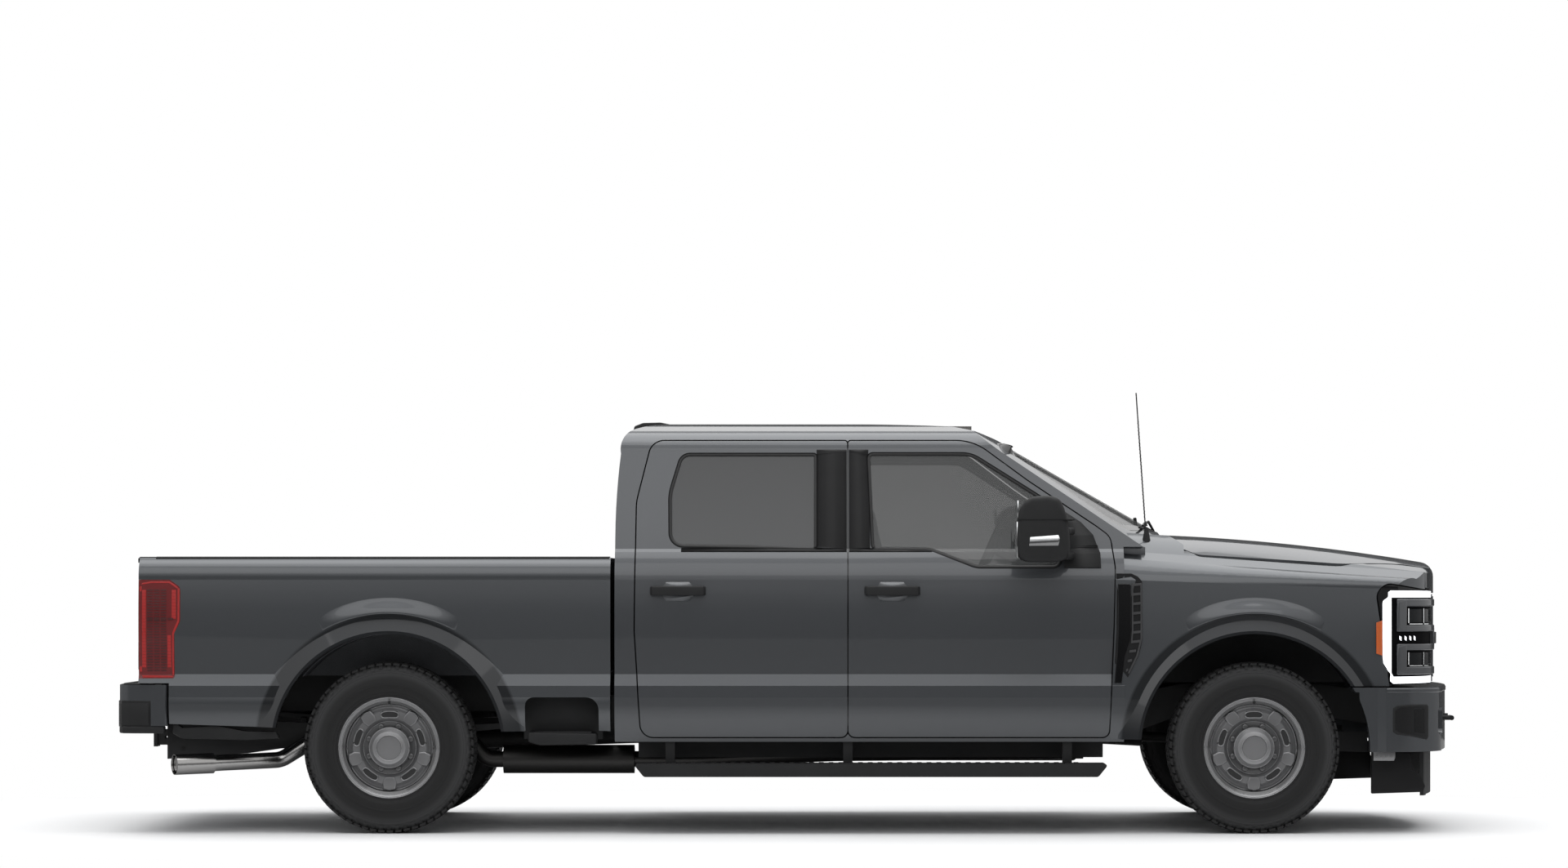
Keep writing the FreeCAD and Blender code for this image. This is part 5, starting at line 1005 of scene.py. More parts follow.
@both_sides
def headlamp(label, side):
    """The trim on one headlamp's face, laid along the front's curve."""
    rear, inner, frame_end, post, marker_top, marker_low = (
        run_at(LAMP_CURVE, x=x) for x in (2.776, 2.812, 2.838, 2.876, 2.762, 2.742))
    front = run_at(LAMP_CURVE, y=0.655)
    third = (post - front - 0.04) / 3
    bars = [([(front - 0.01, low, high), (frame_end, low, high)], 0.022, 0.02, 12)
            for low, high in ((1.066, 1.1), (0.948, 0.978), (0.86, 0.89), (0.746, 0.782))]
    bars += [([(post, low, high), (frame_end, low + 0.012, high - 0.012)], 0.0225, 0.02)
             for low, high in ((0.948, 1.1), (0.746, 0.89))]
    bars.append(([(front + 0.06, 0.87, 0.968), (front + 0.12, 0.87, 0.968)], 0.0225, 0.03))
    optics, edges = [], []
    for low, high in ((0.988, 1.056), (0.792, 0.85)):
        for i in range(3):
            start = front + 0.03 + i * third
            stop = start + third - 0.014
            optics.append(([(start, low, high), (stop, low, high)], 0.006, 0.01))
            edges.append(([(stop + 0.003, low, high), (stop + 0.009, low, high)], 0.009, 0.012, 1))
            foot = low - 0.007, low - 0.003
            edges.append(([(start, *foot), (stop, *foot)], 0.008, 0.012))
    dash_starts = [frame_end - 0.018 - i * 0.028 for i in range(4)]
    for name, material, bands, soft in (
        ("light_guide_", GUIDE, [
            ([(inner, 0.745, 1.118), (rear - 0.003, 0.8, 1.092), (rear, 0.83, 1.08)], 0.005, 0.012),
            ([(front, 1.108, 1.136), (inner, 1.108, 1.14), (inner + 0.012, 1.1, 1.132)], 0.006, 0.012, 10),
            ([(front, 0.708, 0.738), (inner - 0.01, 0.704, 0.736), (inner + 0.004, 0.716, 0.76)],
             0.006, 0.012, 10)], FINE_EDGE),
        # The well is painted shade in the recess behind the lamp's bars.
        ("lamp_well_", WELL, [([(front, 0.738, 1.106), (frame_end + 0.03, 0.738, 1.106)],
                               0.0035, 0.006, 12)], None),
        ("lamp_frame_", GRILLE, bars, (0.005, 3)),
        ("projectors_", OPTIC, optics, (0.006, 3)),
        ("projector_edges_", REFLECTOR, edges, None),
        ("lamp_dashes_", GUIDE, [([(start - 0.01, 0.905, 0.922), (start, 0.911, 0.928)], 0.004, 0.006, 1)
                                 for start in dash_starts], None),
        ("side_marker_", AMBER_LENS, [([(marker_top - 0.005, 0.835, 1.000), (marker_low, 0.845, 0.99)],
                                       0.004, 0.008, 3)], FINE_EDGE),
    ):
        band_piece(name + label, material, LAMP_CURVE, side, bands, soft)


# The painted joint between the hood's edge and the fender: x, then inner and outer y, then their heights
BRIM = [
    (2.655, 0.844, 0.853, 1.264, 1.26), (2.72, 0.818, 0.843, 1.266, 1.258),
    (2.78, 0.794, 0.843, 1.266, 1.254), (2.84, 0.77, 0.843, 1.264, 1.247),
    (2.9, 0.746, 0.852, 1.26, 1.237), (2.955, 0.7455, 0.848, 1.253, 1.232),
    (2.978, 0.7455, 0.848, 1.25, 1.229), (2.99, 0.7455, 0.844, 1.248, 1.224),
    (3.0, 0.7455, 0.826, 1.245, 1.223), (3.008, 0.7455, 0.798, 1.241, 1.224),
    (3.014, 0.7455, 0.772, 1.236, 1.225), (3.019, 0.7455, 0.75, 1.228, 1.224),
]


@both_sides
def lamp_brim(label, side):
    """The painted panel over one headlamp."""
    shape = fresh()
    rows = []
    for x, inner, outer, high_in, high_out in BRIM:
        low = 1.17 if x < 2.88 else 1.15
        rows.append([shape.verts.new((x, y * side, z)) for y, z in (
            (inner, high_in), (outer, high_out), (outer, low), (inner, low))])
    loft(shape, rows)
    softened(made_piece("lamp_brim_" + label, shape, PAINT, 30), 0.004, 3)


# Front bumper: fog recesses, tow hooks, upper lip, intake and air dam


@both_sides
def bumper_trim(label, side):
    """The dark recess and its frame, the tow hook, the lip and the dam's bracket on one side."""
    rear, mid, front = (run_at(BUMPER_CURVE, x=x) for x in (2.822, 2.905, 2.992))
    edge = 0.01
    outline = [(rear, 0.478, 0.588), (rear - 0.02, 0.466, 0.602), (mid, 0.458, 0.606),
               (front + 0.012, 0.44, 0.606), (front, 0.452, 0.598)]
    inside = [(run - edge if run > mid else run + edge, low + edge, high - edge)
              for run, low, high in outline]
    duct = [(mid - 0.02, 0.478, 0.582), (front + 0.03, 0.47, 0.586)]
    band_piece("fog_frame_" + label, BLACK, BUMPER_CURVE, side, [(outline, 0.0035, 0.012, 4)], (0.003, 2))
    band_piece("fog_well_" + label, SATIN, BUMPER_CURVE, side, [(inside, 0.0045, 0.01, 4)])
    band_piece("fog_duct_" + label, GLOSS, BUMPER_CURVE, side, [(duct, 0.0052, 0.006, 4)])
    hook, bolts, lip = fresh(), fresh(), fresh()
    y, z = 0.56 * side, 0.532
    for offset in (-0.03, 0.03):
        add_bar(hook, (3.1, y + offset, z), (3.152, y + offset, z), 0.011, 14)
    add_bar(hook, (3.15, y - 0.04, z), (3.15, y + 0.04, z), 0.012, 14)
    made_piece("tow_hook_" + label, hook, BLACK)
    slab_piece("dam_bracket_" + label, STEEL_WHEEL,
               [(2.752, 0.334), (2.85, 0.334), (2.856, 0.35), (2.856, 0.382), (2.752, 0.382)],
               "y", 0.745, 0.787, 0.003, side=side, slot="frame_steel")
    for i in range(4):
        x = 2.768 + 0.024 * i
        add_bar(bolts, (x, 0.786 * side, 0.352), (x, 0.791 * side, 0.352), 0.0045, 10)
    made_piece("dam_bolts_" + label, bolts, CHROME)
    slab_piece("dam_wing_" + label, SATIN,
               [(2.743, 0.378), (2.928, 0.374), (2.936, 0.298), (2.978, 0.271), (3.0, 0.215), (2.99, 0.186),
                (2.743, 0.178)], "y", 0.757, 0.781, 0.006, 3, side=side)
    ends = run_at(BUMPER_CURVE, y=0.02), run_at(BUMPER_CURVE, x=2.7)
    strip(lip, BUMPER_CURVE, side, [(run, 0.66, 0.683) for run in ends], 0.004, 0.016, 24)
    for vert in lip.verts:
        vert.co.x = min(vert.co.x, NOSE_END)
    softened(made_piece("bumper_top_lip_" + label, lip, PAINT, 30), 0.007, 4)
    slab_piece("horn_plate_" + label, FRAME_STEEL, [(2.4, 0.375), (2.76, 0.365), (2.76, 0.462), (2.4, 0.47)],
               "y", 0.497, 0.505, 0.002, side=side)


def bumper_intake():
    """The slatted plate in the middle of the bumper."""
    shape = fresh()
    add_slab(shape, rect(-0.5, 0.5, 0.425, 0.66), "x", 3.08, 3.086, 0.002)
    for i in range(28):
        y = -0.432 + 0.032 * i
        add_block(shape, (3.084, y - 0.003, 0.43), (3.094, y + 0.003, 0.655), 0.001, 1)
    for i in range(7):
        z = 0.446 + 0.032 * i
        add_block(shape, (3.084, -0.44, z - 0.003), (3.096, 0.44, z + 0.003), 0.001, 1)
    made_piece("bumper_intake", shape, BLACK)


bumper_intake()

# Fender vents, and the swell above each wheel arch


@both_sides
def fender_vent(label, side):
    """A black panel behind the front wheel with a bare insert and a column of slots."""
    ribs = [([(1.594, 1.175), (1.601, 1.175), (1.601, 0.955), (1.596, 0.9), (1.59, 0.905),
              (1.594, 0.955)], 0.009),
            ([(1.634, 1.175), (1.642, 1.175), (1.642, 0.915), (1.623, 0.833), (1.582, 0.75), (1.574, 0.754),
              (1.615, 0.838), (1.634, 0.917)], 0.009)]
    for i in range(10):
        z = 1.172 - i * 0.0445
        left = 1.598 - max(0, 0.95 - z) * 0.18
        right = 1.638 - max(0, 0.92 - z) * 0.42
        ribs.append(([(left, z), (right, z + 0.004), (right, z - 0.008), (left, z - 0.012)], 0.0085))
    for name, material, outlines, soft in (
        ("vent_plate_", SATIN, [([
            (1.522, 1.221), (1.594, 1.221), (1.624, 1.206), (1.643, 1.183), (1.643, 0.915), (1.636, 0.873),
            (1.624, 0.831), (1.582, 0.747), (1.555, 0.69), (1.502, 0.69), (1.516, 0.83), (1.522, 0.95),
        ], 0.004)], FINE_EDGE),
        ("vent_insert_", GLOSS, [([
            (1.53, 1.172), (1.582, 1.172), (1.59, 1.164), (1.59, 0.96), (1.583, 0.905), (1.56, 0.83),
            (1.546, 0.706), (1.512, 0.706), (1.524, 0.83), (1.53, 0.95),
        ], 0.0075)], FINE_EDGE),
        ("vent_ribs_", SLOT_GREY, ribs, (0.0015, 2)),
    ):
        laid_piece(name + label, material, "fenders", side, outlines, soft)


def arch_brow(name, node, axle, side):
    """A painted swell over a wheel arch that blends into the panel round it."""
    shape = fresh()
    steps, rows = 40, 10
    grid = []
    for i in range(steps + 1):
        fade = math.sin(math.pi * i / steps) ** 1.1
        line = []
        for k in range(rows + 1):
            rise = 0.5 + 0.5 * math.cos(math.pi * k / rows)
            spot = around(axle, 0.63 + 0.082 * k / rows, math.radians(-30 + 60 * i / steps), 0)
            spot.y = skin_y(node, spot.x, spot.z, side) + (0.026 * rise * fade - 0.0006) * side
            line.append(shape.verts.new(spot))
        grid.append(line)
    loft(shape, grid, wrapped=False)
    shape.normal_update()
    if sum(face.normal.y for face in shape.faces) * side < 0:
        bmesh.ops.reverse_faces(shape, faces=shape.faces)
    walled(made_piece(name, shape, PAINT, 60, recalculate=False), 0.003)


@both_sides
def arch_brows(label, side):
    """The swells over one side's wheels."""
    arch_brow("brow_front_" + label, "fenders", AXLES["front"], side)
    arch_brow("brow_rear_" + label, "bed_sides", AXLES["rear"], side)


# Roof, panes, wipers and mast


def roof_fin():
    """The black housing above the rear window."""
    shape = fresh()
    half = 0.3
    add_slab(shape, [(-0.776, 1.905), (-0.766, 1.942), (-0.725, 1.958), (-0.64, 1.96), (-0.58, 1.948),
                     (-0.56, 1.93)], "y", -half, half, 0.006, 3)
    for vert in shape.verts:
        vert.co.z -= 0.006 * (abs(vert.co.y) / half) ** 2
    made_piece("roof_fin", shape, SATIN, 35)


def pane_border(name, node, width, way):
    """The dark printed border round a fixed pane."""
    rim_of(name, GLOSS, node, width, way, 0.3, 0.004, Vector(way).normalized() * 0.002)


def wiper(label, foot_y, tip_y):
    """A wiper's blade, arm and foot, lying on the windshield."""
    line = []
    for i in range(9):
        y = foot_y + (tip_y - foot_y) * i / 8
        x = 1.735 - 0.06 * i / 8 - 0.05 * y ** 2
        line.append(Vector((x, y, top_z("windshield", x, y) + 0.01)))
    shape = fresh()
    add_tube(shape, line[1:], 0.0055, 6)
    add_tube(shape, [point + Vector((0.004, 0, 0.014)) for point in line[3:7]], 0.006, 6)
    add_tube(shape, [(1.775, foot_y, 1.402), (1.765, foot_y, 1.432), line[2] + Vector((0.012, 0, 0.016)),
                     line[5] + Vector((0.004, 0, 0.014))], 0.0065, 8)
    add_bar(shape, (1.775, foot_y, 1.385), (1.775, foot_y, 1.412), 0.015, 16)
    made_piece("wiper_" + label, shape, SATIN, 50)


def mast_coil():
    """The fine wire wound round the antenna's mast."""
    shape = fresh()
    turns, steps, radius = 26, 10, 0.0034
    points = []
    for k in range(turns * steps + 1):
        share = k / (turns * steps)
        angle = k * math.tau / steps
        points.append((1.6694 - 0.032 * share + radius * math.cos(angle), -0.795 + radius * math.sin(angle),
                       1.48 + 0.46 * share))
    add_tube(shape, points, 0.0011, 4)
    made_piece("mast_coil", shape, BLACK, 60)


roof_fin()
pane_border("windshield_border", "windshield", 0.045, (0.6, 0, 0.8))
pane_border("rear_window_border", "rear_window", 0.03, (-1, 0, 0.1))
wiper("left", 0.6, -0.02)
wiper("right", -0.08, -0.66)
mast_coil()

# Bed, tailgate and rear bumper


def rail_caps():
    """Grained caps along the tops of the bed sides."""
    shape = fresh()
    for side in SIDES.values():
        add_slab(shape, [(0.838, 1.2955), (0.838, 1.3), (0.9305, 1.3), (0.944, 1.296), (0.944, 1.285),
                         (0.937, 1.289), (0.933, 1.2955)], "x", -2.985, -0.856, 0.0015, side=side)
    made_piece("rail_caps", shape, BLACK)


@both_sides
def bed_trim(label, side):
    """The lower strip, step, tie-downs and sill guard on one side."""
    slab_piece("bed_lower_strip_" + label, BLACK, [
        (-2.9, 0.53), (-2.86, 0.497), (-2.7, 0.508), (-2.56, 0.48), (-2.42, 0.48), (-2.405, 0.446),
        (-2.56, 0.438), (-2.86, 0.446), (-2.905, 0.47)], "y", 0.905, 0.962, 0.006, side=side)
    slab_piece("step_liner_" + label, BLACK, [
        (-1.262, 0.44), (-0.89, 0.44), (-0.89, 0.655), (-0.925, 0.668), (-1.215, 0.668), (-1.262, 0.64)],
        "y", 0.862, 0.878, 0.004, side=side)
    slab_piece("sill_guard_" + label, BLACK, rect(-0.725, 1.47, 0.45, 0.352),
               "y", 0.8, 0.812, 0.003, side=side)
    pad, hooks = fresh(), fresh()
    add_slab(pad, [(-1.235, 0.476), (-0.915, 0.47), (-0.915, 0.418), (-1.18, 0.414), (-1.235, 0.43)],
             "y", 0.865, 0.984, 0.008, 3, side)
    for i in range(7):
        y = 0.882 + 0.014 * i
        add_block(pad, (-1.205, y * side, 0.466), (-0.94, (y + 0.007) * side, 0.479), 0.0015, 1)
    made_piece("step_pad_" + label, pad, BLACK)
    y, low = 0.83 * side, 1.17
    for x in (-2.8, -1.95, -1.1):
        add_block(hooks, (x - 0.03, 0.826 * side, 1.19), (x + 0.03, 0.852 * side, 1.204), 0.003)
        for offset in (-0.024, 0.024):
            add_bar(hooks, (x + offset, y, low), (x + offset, y, 1.197), 0.004, 10)
        add_bar(hooks, (x - 0.026, y, low), (x + 0.026, y, low), 0.004, 10)
    made_piece("tie_downs_" + label, hooks, DRIVELINE, slot="frame_steel")


# The tail lamp's rim: its rear edge, front edge, foot and head
LAMP_RIM = [
    rect(-3.056, -3.046, 0.76, 1.16),
    [(-2.903, 0.742), (-2.895, 0.742), (-2.895, 0.936), (-2.869, 0.996), (-2.869, 1.15), (-2.878, 1.15),
     (-2.878, 1.000), (-2.903, 0.944)],
    [(-3.04, 0.733), (-2.9, 0.733), (-2.9, 0.741), (-3.046, 0.744)],
    [(-3.045, 1.176), (-3.000, 1.183), (-2.915, 1.183), (-2.88, 1.16), (-2.874, 1.15), (-2.882, 1.15),
     (-2.918, 1.175), (-3.000, 1.176), (-3.045, 1.168)],
]


def patch(x0, x1, low, high, lift):
    """A rectangle to lay on a panel, with its lift."""
    return rect(x0, x1, low, high), lift


@both_sides
def tail_lamp(label, side):
    """The bright rim, the lit column and the ribs of one tail lamp."""
    glow, ribs = [], []
    for i in range(24):
        z = 0.78 + i * 0.0152
        for x0, x1, top in ((-3.044, -3.026, 1.15), (-2.925, -2.908, 0.93), (-2.905, -2.885, 1.15)):
            if (z > 1.00 or x1 < -2.9) and z < top:
                glow.append(patch(x0, x1, z, z + 0.014, 0.0016))
    for i in range(30):
        z = 0.762 + i * 0.013
        ribs += [patch(x, x + 0.026, z, z + 0.006, 0.0024) for x in (-3.02, -2.988, -2.956) if z < 1.145]
    ribs += [patch(x, x + 0.026, 1.003, 1.012, 0.004) for x in (-3.02, -2.988, -2.956, -2.924)]
    for name, material, outlines, soft in (
        ("tail_lamp_rim_", RED_BRIGHT, [(outline, 0.002) for outline in LAMP_RIM], (0.0012, 2)),
        ("tail_lamp_glow_", RED_BRIGHT, glow, None),
        ("tail_lamp_ribs_", RED_DEEP, ribs, None),
    ):
        laid_piece(name + label, material, "tail_lamps", side, outlines, soft)
    slab_piece("reverse_lamp_" + label, REFLECTOR, rect(0.915, 0.975, 0.77, 0.9),
               "x", -3.0635, -3.055, 0.002, side=side)


@both_sides
def rear_bumper_trim(label, side):
    """The black corner step, the lower lip and the tread on one side of the rear bumper."""
    corner = [(-3.1735, 0.8), (-3.172, 0.85), (-3.166, 0.905), (-3.145, 0.956), (-3.11, 0.971),
              (-3.012, 0.989), (-3.012, 0.96), (-3.14, 0.93), (-3.15, 0.8)]
    edge = [(x + (0.01 if x > -3.02 else 0), y - 0.0015) for x, y in corner]
    slab_piece("bumper_pad_" + label, BLACK, corner, "z", 0.508, 0.612, 0.004, side=side)
    slab_piece("bumper_pad_edge_" + label, SATIN, edge, "z", 0.5, 0.624, 0.003, side=side)
    slab_piece("bumper_lip_" + label, BLACK, [
        (-3.174, 0.2), (-3.1735, 0.8), (-3.16, 0.925), (-3.14, 0.962), (-3.09, 0.976), (-2.94, 0.994),
        (-2.94, 0.93), (-3.1, 0.9), (-3.11, 0.2)], "z", 0.47, 0.505, 0.008, 3, side=side)
    tread = fresh()
    add_slab(tread, [(-3.16, 0.22), (-3.159, 0.8), (-3.142, 0.93), (-3.09, 0.955), (-2.99, 0.97),
                     (-2.99, 0.925), (-3.08, 0.89), (-3.095, 0.22)], "z", 0.6975, 0.7025, 0.0015, side=side)
    for i in range(16):
        y = 0.26 + 0.038 * i
        add_block(tread, (-3.15, y * side, 0.702), (-3.102, (y + 0.012) * side, 0.7045), 0.0008, 1)
    made_piece("bumper_tread_" + label, tread, BLACK)


def rear_valance():
    """The ribbed black panel between the bed and the bumper."""
    shape = fresh()
    add_slab(shape, rect(-0.87, 0.87, 0.56, 0.728), "x", -2.97, -2.962, 0.003)
    for i in range(9):
        y = -0.8 + 0.2 * i
        add_block(shape, (-2.975, y - 0.012, 0.58), (-2.964, y + 0.012, 0.715), 0.003, 1)
    made_piece("rear_valance", shape, BLACK)


rail_caps()
rear_valance()
slab_piece("tailgate_cap", BLACK, [
    (-3.0785, 1.27), (-3.079, 1.29), (-3.07, 1.299), (-2.996, 1.299), (-2.99, 1.2925), (-3.06, 1.2925),
    (-3.071, 1.288)], "y", -0.88, 0.88, 0.0015, body="tailgate_panel")
slab_piece("tailgate_handle", BLACK, rect(-0.1, 0.1, 1.112, 1.176),
           "x", -3.062, -3.045, 0.007, 3, body="tailgate_panel")

# Underbody and running boards

FRAME_BOLTS = ((-2.93, 0.445, 0.012), (-2.885, 0.455, 0.008), (-2.84, 0.455, 0.012), (-2.795, 0.44, 0.008),
               (-2.74, 0.45, 0.014), (-2.66, 0.44, 0.009), (-2.91, 0.385, 0.01))


@both_sides
def frame_end(label, side):
    """The plate that ties the frame's end to the bumper, its brackets and its bolts."""
    plate, bolts = fresh(), fresh()
    add_slab(plate, [(-2.985, 0.505), (-2.985, 0.335), (-2.8, 0.35), (-2.6, 0.362), (-2.44, 0.385),
                     (-2.16, 0.4), (-2.16, 0.5), (-2.46, 0.515)], "y", 0.585, 0.593, 0.002, side=side)
    for x in (-2.93, -2.7, -2.48, -2.26):
        add_block(plate, (x, 0.5 * side, 0.47), (x + 0.03, 0.59 * side, 0.5), 0.002, 1)
    made_piece("frame_end_" + label, plate, FRAME_STEEL)
    for x, z, radius in FRAME_BOLTS:
        add_bar(bolts, (x, 0.592 * side, z), (x, 0.5945 * side, z), radius, 16)
    made_piece("frame_end_bolts_" + label, bolts, DRIVELINE, slot="frame_steel")


@both_sides
def board_tread(label, side):
    """Raised tread along a running board."""
    shape = fresh()
    for i in range(44):
        x = -0.655 + i * 0.046
        add_block(shape, (x, 0.935 * side, 0.3285), (x + 0.024, 1.0335 * side, 0.3345), 0.0025)
    made_piece("board_tread_" + label, shape, SATIN)


# Under the hood


@both_sides
def cowl_corner(label, side):
    """The painted panel under the hood's rear corner."""
    slab_piece("cowl_corner_" + label, PAINT, [(1.54, 1.27), (1.665, 1.27), (1.665, 1.345), (1.54, 1.362)],
               "y", 0.88, 0.888, 0.003, side=side)


def engine_trim():
    """The ribbed cover on the engine, the battery, the air box and hose, and the coolant tank."""
    cover, boxes, tank, hose = fresh(), fresh(), fresh(), fresh()
    add_slab(cover, [(1.78, 1.14), (2.46, 1.14), (2.44, 1.17), (2.3, 1.185), (1.9, 1.2), (1.8, 1.19)],
             "y", -0.22, 0.22, 0.014, 3)
    rib = [(1.9, 1.192), (2.3, 1.178), (2.3, 1.186), (1.9, 1.208)]
    for i in range(7):
        y = -0.165 + 0.055 * i
        add_slab(cover, rib, "y", y - 0.008, y + 0.008, 0.003)
    made_piece("engine_cover", cover, BLACK)
    add_block(boxes, (2.28, 0.36, 0.98), (2.52, 0.54, 1.13), 0.012, 3)
    add_block(boxes, (1.86, -0.56, 1.02), (2.16, -0.34, 1.18), 0.02, 3)
    made_piece("battery_and_air_box", boxes, SATIN)
    add_block(tank, (1.84, 0.36, 1.02), (2.06, 0.56, 1.16), 0.022, 4)
    add_bar(tank, (1.95, 0.46, 1.155), (1.95, 0.46, 1.185), 0.026, 20)
    made_piece("coolant_tank", tank, BEDLINER)
    add_tube(hose, [(2.16, -0.45, 1.12), (2.3, -0.44, 1.13), (2.42, -0.36, 1.12), (2.52, -0.26, 1.08),
                    (2.6, -0.22, 1.03), (2.77, -0.22, 1.00)], 0.034, 16)
    made_piece("air_hose", hose, SEAL, 50)


engine_trim()

# Seats

CABIN_FLOOR = 0.68
PAD_MESH = 0.014
PRESSURE = 4.0
CLOTH_FRAMES = 20


def blown_up(item):
    """Lets the cloth solver's pressure fill a pad."""
    solver = item.modifiers.new("cloth", "CLOTH")
    solver.settings.use_pressure = True
    solver.settings.uniform_pressure_force = PRESSURE
    solver.settings.effector_weights.gravity = 0.0
    solver.settings.quality = 4
    for frame_number in range(1, CLOTH_FRAMES + 1):
        bpy.context.scene.frame_set(frame_number)
    bpy.ops.object.modifier_apply(modifier="cloth")
    bpy.context.scene.frame_set(1)


def pad(name, low, high, lean, pivot, crown, seams):
    """A block blown up by at most its crown and leaned about its pivot, with its sewn channels."""
    shape = fresh()
    add_block(shape, low, high, min(Vector(high) - Vector(low)) * 0.3, 4)
    item = made_piece(name, shape, CLOTH, 80)
    remesh = item.modifiers.new("even_mesh", "REMESH")
    remesh.mode = "VOXEL"
    remesh.voxel_size = PAD_MESH
    bpy.context.view_layer.objects.active = item
    item.select_set(True)
    bpy.ops.object.modifier_apply(modifier="even_mesh")
    start = [vert.co.copy() for vert in item.data.vertices]
    blown_up(item)
    for vert, was in zip(item.data.vertices, start):
        move = vert.co - was
        if move.length > crown:
            vert.co = was + move.normalized() * crown
        for axis, at, width, depth in seams:
            off = abs(was[axis] - at)
            if off < width:
                vert.co -= vert.normal * depth * (0.5 + 0.5 * math.cos(math.pi * off / width))
    item.data.transform(Matrix.Translation(pivot) @ Matrix.Rotation(math.radians(lean), 4, "Y")
                        @ Matrix.Translation(-Vector(pivot)))
    smooth = item.modifiers.new("smooth", "SUBSURF")
    smooth.levels = 1
    smooth.render_levels = 1
    item.data.shade_smooth()
    item.select_set(False)
    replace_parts(item, "seats")


def seat_set(label, x, y0, y1, rests):
    """One seat's cushion, back and head rests on a frame."""
    floor, middle, half = CABIN_FLOOR, (y0 + y1) / 2, (y1 - y0) / 2
    rows = [(1, middle + share * half, 0.03, 0.007) for share in (-0.52, 0.52)]
    across = [(axis, at, 0.018, 0.006) for axis, at in ((0, x + 0.3), (2, floor + 0.72), (2, floor + 0.5))]
    pad("seat_cushion_" + label, (x - 0.02, y0 + 0.02, floor + 0.24), (x + 0.5, y1 - 0.02, floor + 0.37), -3,
        (x, middle, floor + 0.3), 0.024, rows + across[:1])
    pad("seat_back_" + label, (x - 0.1, y0 + 0.02, floor + 0.36), (x + 0.03, y1 - 0.02, floor + 0.9), -12,
        (x - 0.03, middle, floor + 0.34), 0.024, rows + across[1:])
    posts, shell = fresh(), fresh()
    top = floor + 0.97
    for i, y in enumerate(rests):
        pad("head_rest_%s_%s" % (label, i + 1), (x - 0.235, y - 0.125, floor + 0.945),
            (x - 0.145, y + 0.125, floor + 1.095), 0, (x - 0.19, y, floor + 1.0), 0.014, [])
        for offset in (-0.06, 0.06):
            add_bar(posts, (x - 0.175, y + offset, top - 0.15), (x - 0.19, y + offset, top), 0.006)
    made_piece("rest_posts_" + label, posts, CHROME)
    add_slab(shell, [(x - 0.02, floor), (x + 0.47, floor), (x + 0.495, floor + 0.23),
                     (x - 0.03, floor + 0.26)], "y", y0 + 0.035, y1 - 0.035, 0.015, 3)
    add_slab(shell, [(x - 0.1, floor + 0.26), (x - 0.055, floor + 0.26), (x - 0.165, floor + 0.88),
                     (x - 0.205, floor + 0.87)], "y", y0 + 0.04, y1 - 0.04, 0.012, 3)
    made_piece("seat_shell_" + label, shell, CABIN)


seat_set("front_left", 0.444, 0.19, 0.73, [0.46])
seat_set("front_right", 0.444, -0.73, -0.19, [-0.46])
seat_set("rear", -0.481, -0.78, 0.78, [-0.52, 0.52])

# Dashboard, inner mirror and door cards

DOOR_SPANS = {"front": (0.3, 1.44), "rear": (-0.62, 0.22)}


def cabin_trim():
    """The dash screens and the interior mirror."""
    dash, mirror_shape = fresh(), fresh()
    add_slab(dash, rect(0.25, 0.52, 1.215, 1.345), "x", 1.245, 1.262, 0.006)
    add_slab(dash, rect(-0.15, 0.15, 1.13, 1.33), "x", 1.238, 1.262, 0.008)
    made_piece("dash_screens", dash, GLOSS, slot="interior_plastic")
    add_slab(mirror_shape, [(-0.125, 1.69), (0.125, 1.69), (0.135, 1.735), (0.115, 1.76), (-0.115, 1.76),
                            (-0.135, 1.735)], "x", 1.045, 1.07, 0.008, 3)
    add_tube(mirror_shape, [(1.068, 0, 1.735), (1.09, 0, 1.75),
                            (1.105, 0, top_z("windshield", 1.105, 0) - 0.008)], 0.009, 10)
    made_piece("cabin_mirror", mirror_shape, CABIN)


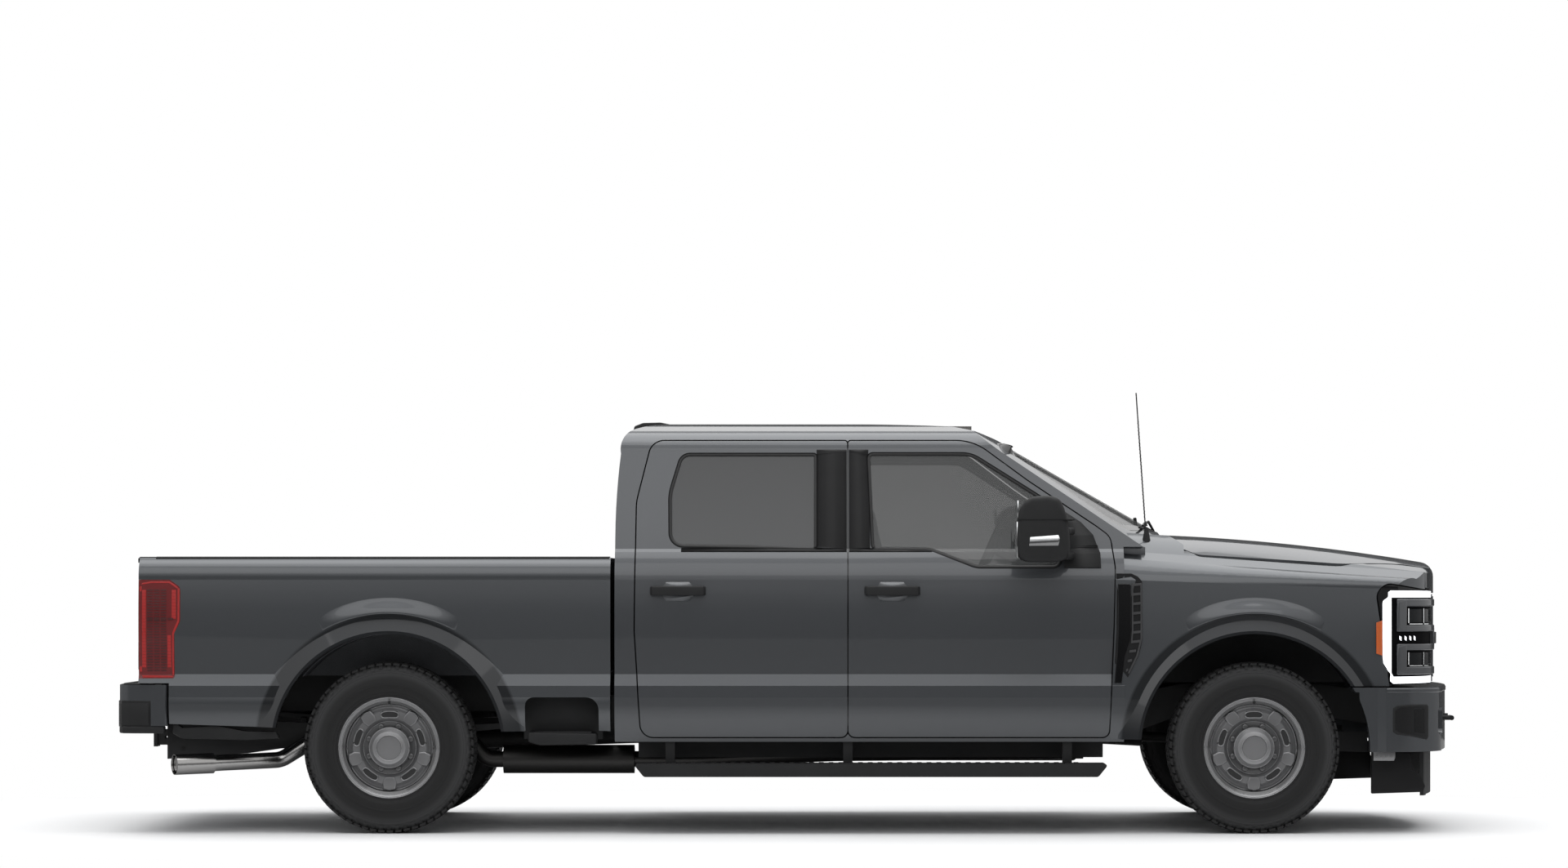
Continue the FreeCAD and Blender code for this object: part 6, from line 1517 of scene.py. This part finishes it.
def door_card(end, label, side, rear, front):
    """The moulded trim inside a door: upper pad, armrest, pull handle, speaker and pocket."""
    name, body = "%s_%s" % (end, label), door_body(end, label)
    card, rest, controls, pull = fresh(), fresh(), fresh(), fresh()
    middle = (rear + front) / 2

    def level(x, z):
        return inner_y("door_" + name, x, z, side)

    def moulding(shape, z, outline, proud, bevel, segments):
        y = level(middle, z)
        add_slab(shape, outline, "y", y + 0.004 * side, y - proud * side, bevel, segments)

    for low, high, proud in ((1.08, 1.215, 0.012), (0.79, 0.88, 0.008)):
        moulding(card, (low + high) / 2, [(rear + 0.05, low), (front - 0.1, low), (front - 0.09, high),
                                          (rear + 0.05, high)], proud, 0.006, 3)
    moulding(card, 0.7, [(rear + 0.1, 0.6), (front - 0.34, 0.6), (front - 0.3, 0.69),
                         (rear + 0.08, 0.69)], 0.024, 0.008, 3)
    moulding(rest, 0.95, [(rear + 0.06, 0.925), (front - 0.2, 0.925), (front - 0.14, 0.975),
                          (rear + 0.06, 0.985)], 0.022, 0.01, 4)
    speaker = Vector((front - 0.2, 0, 0.735))
    y = level(speaker.x, speaker.z) - 0.003 * side
    for radius in (0.085, 0.062, 0.03):
        add_tube(controls, [around(speaker, radius, math.tau / 4 - k * math.tau / 40, y) for k in range(40)],
                 0.0035, 6, True)
    for k in range(4):
        x = middle + 0.02 + 0.035 * k
        y = level(x, 0.99)
        add_block(controls, (x, y, 0.988), (x + 0.022, y - 0.016 * side, 0.996), 0.002, 1)
    x = front - 0.19
    y = level(x, 1.03)
    add_tube(pull, [(x, y, 1.03), (x - 0.01, y - 0.014 * side, 1.03), (x - 0.09, y - 0.014 * side, 1.034),
                    (x - 0.1, y, 1.034)], 0.007, 10)
    made_piece("door_card_" + name, card, CABIN, body=body)
    made_piece("armrest_" + name, rest, CLOTH, 60, body)
    made_piece("door_controls_" + name, controls, SATIN, body=body, slot="interior_plastic")
    made_piece("inner_pull_" + name, pull, CHROME, 50, body, "interior_plastic")


cabin_trim()
for end, (rear, front) in DOOR_SPANS.items():
    for label, side in SIDES.items():
        door_card(end, label, side, rear, front)
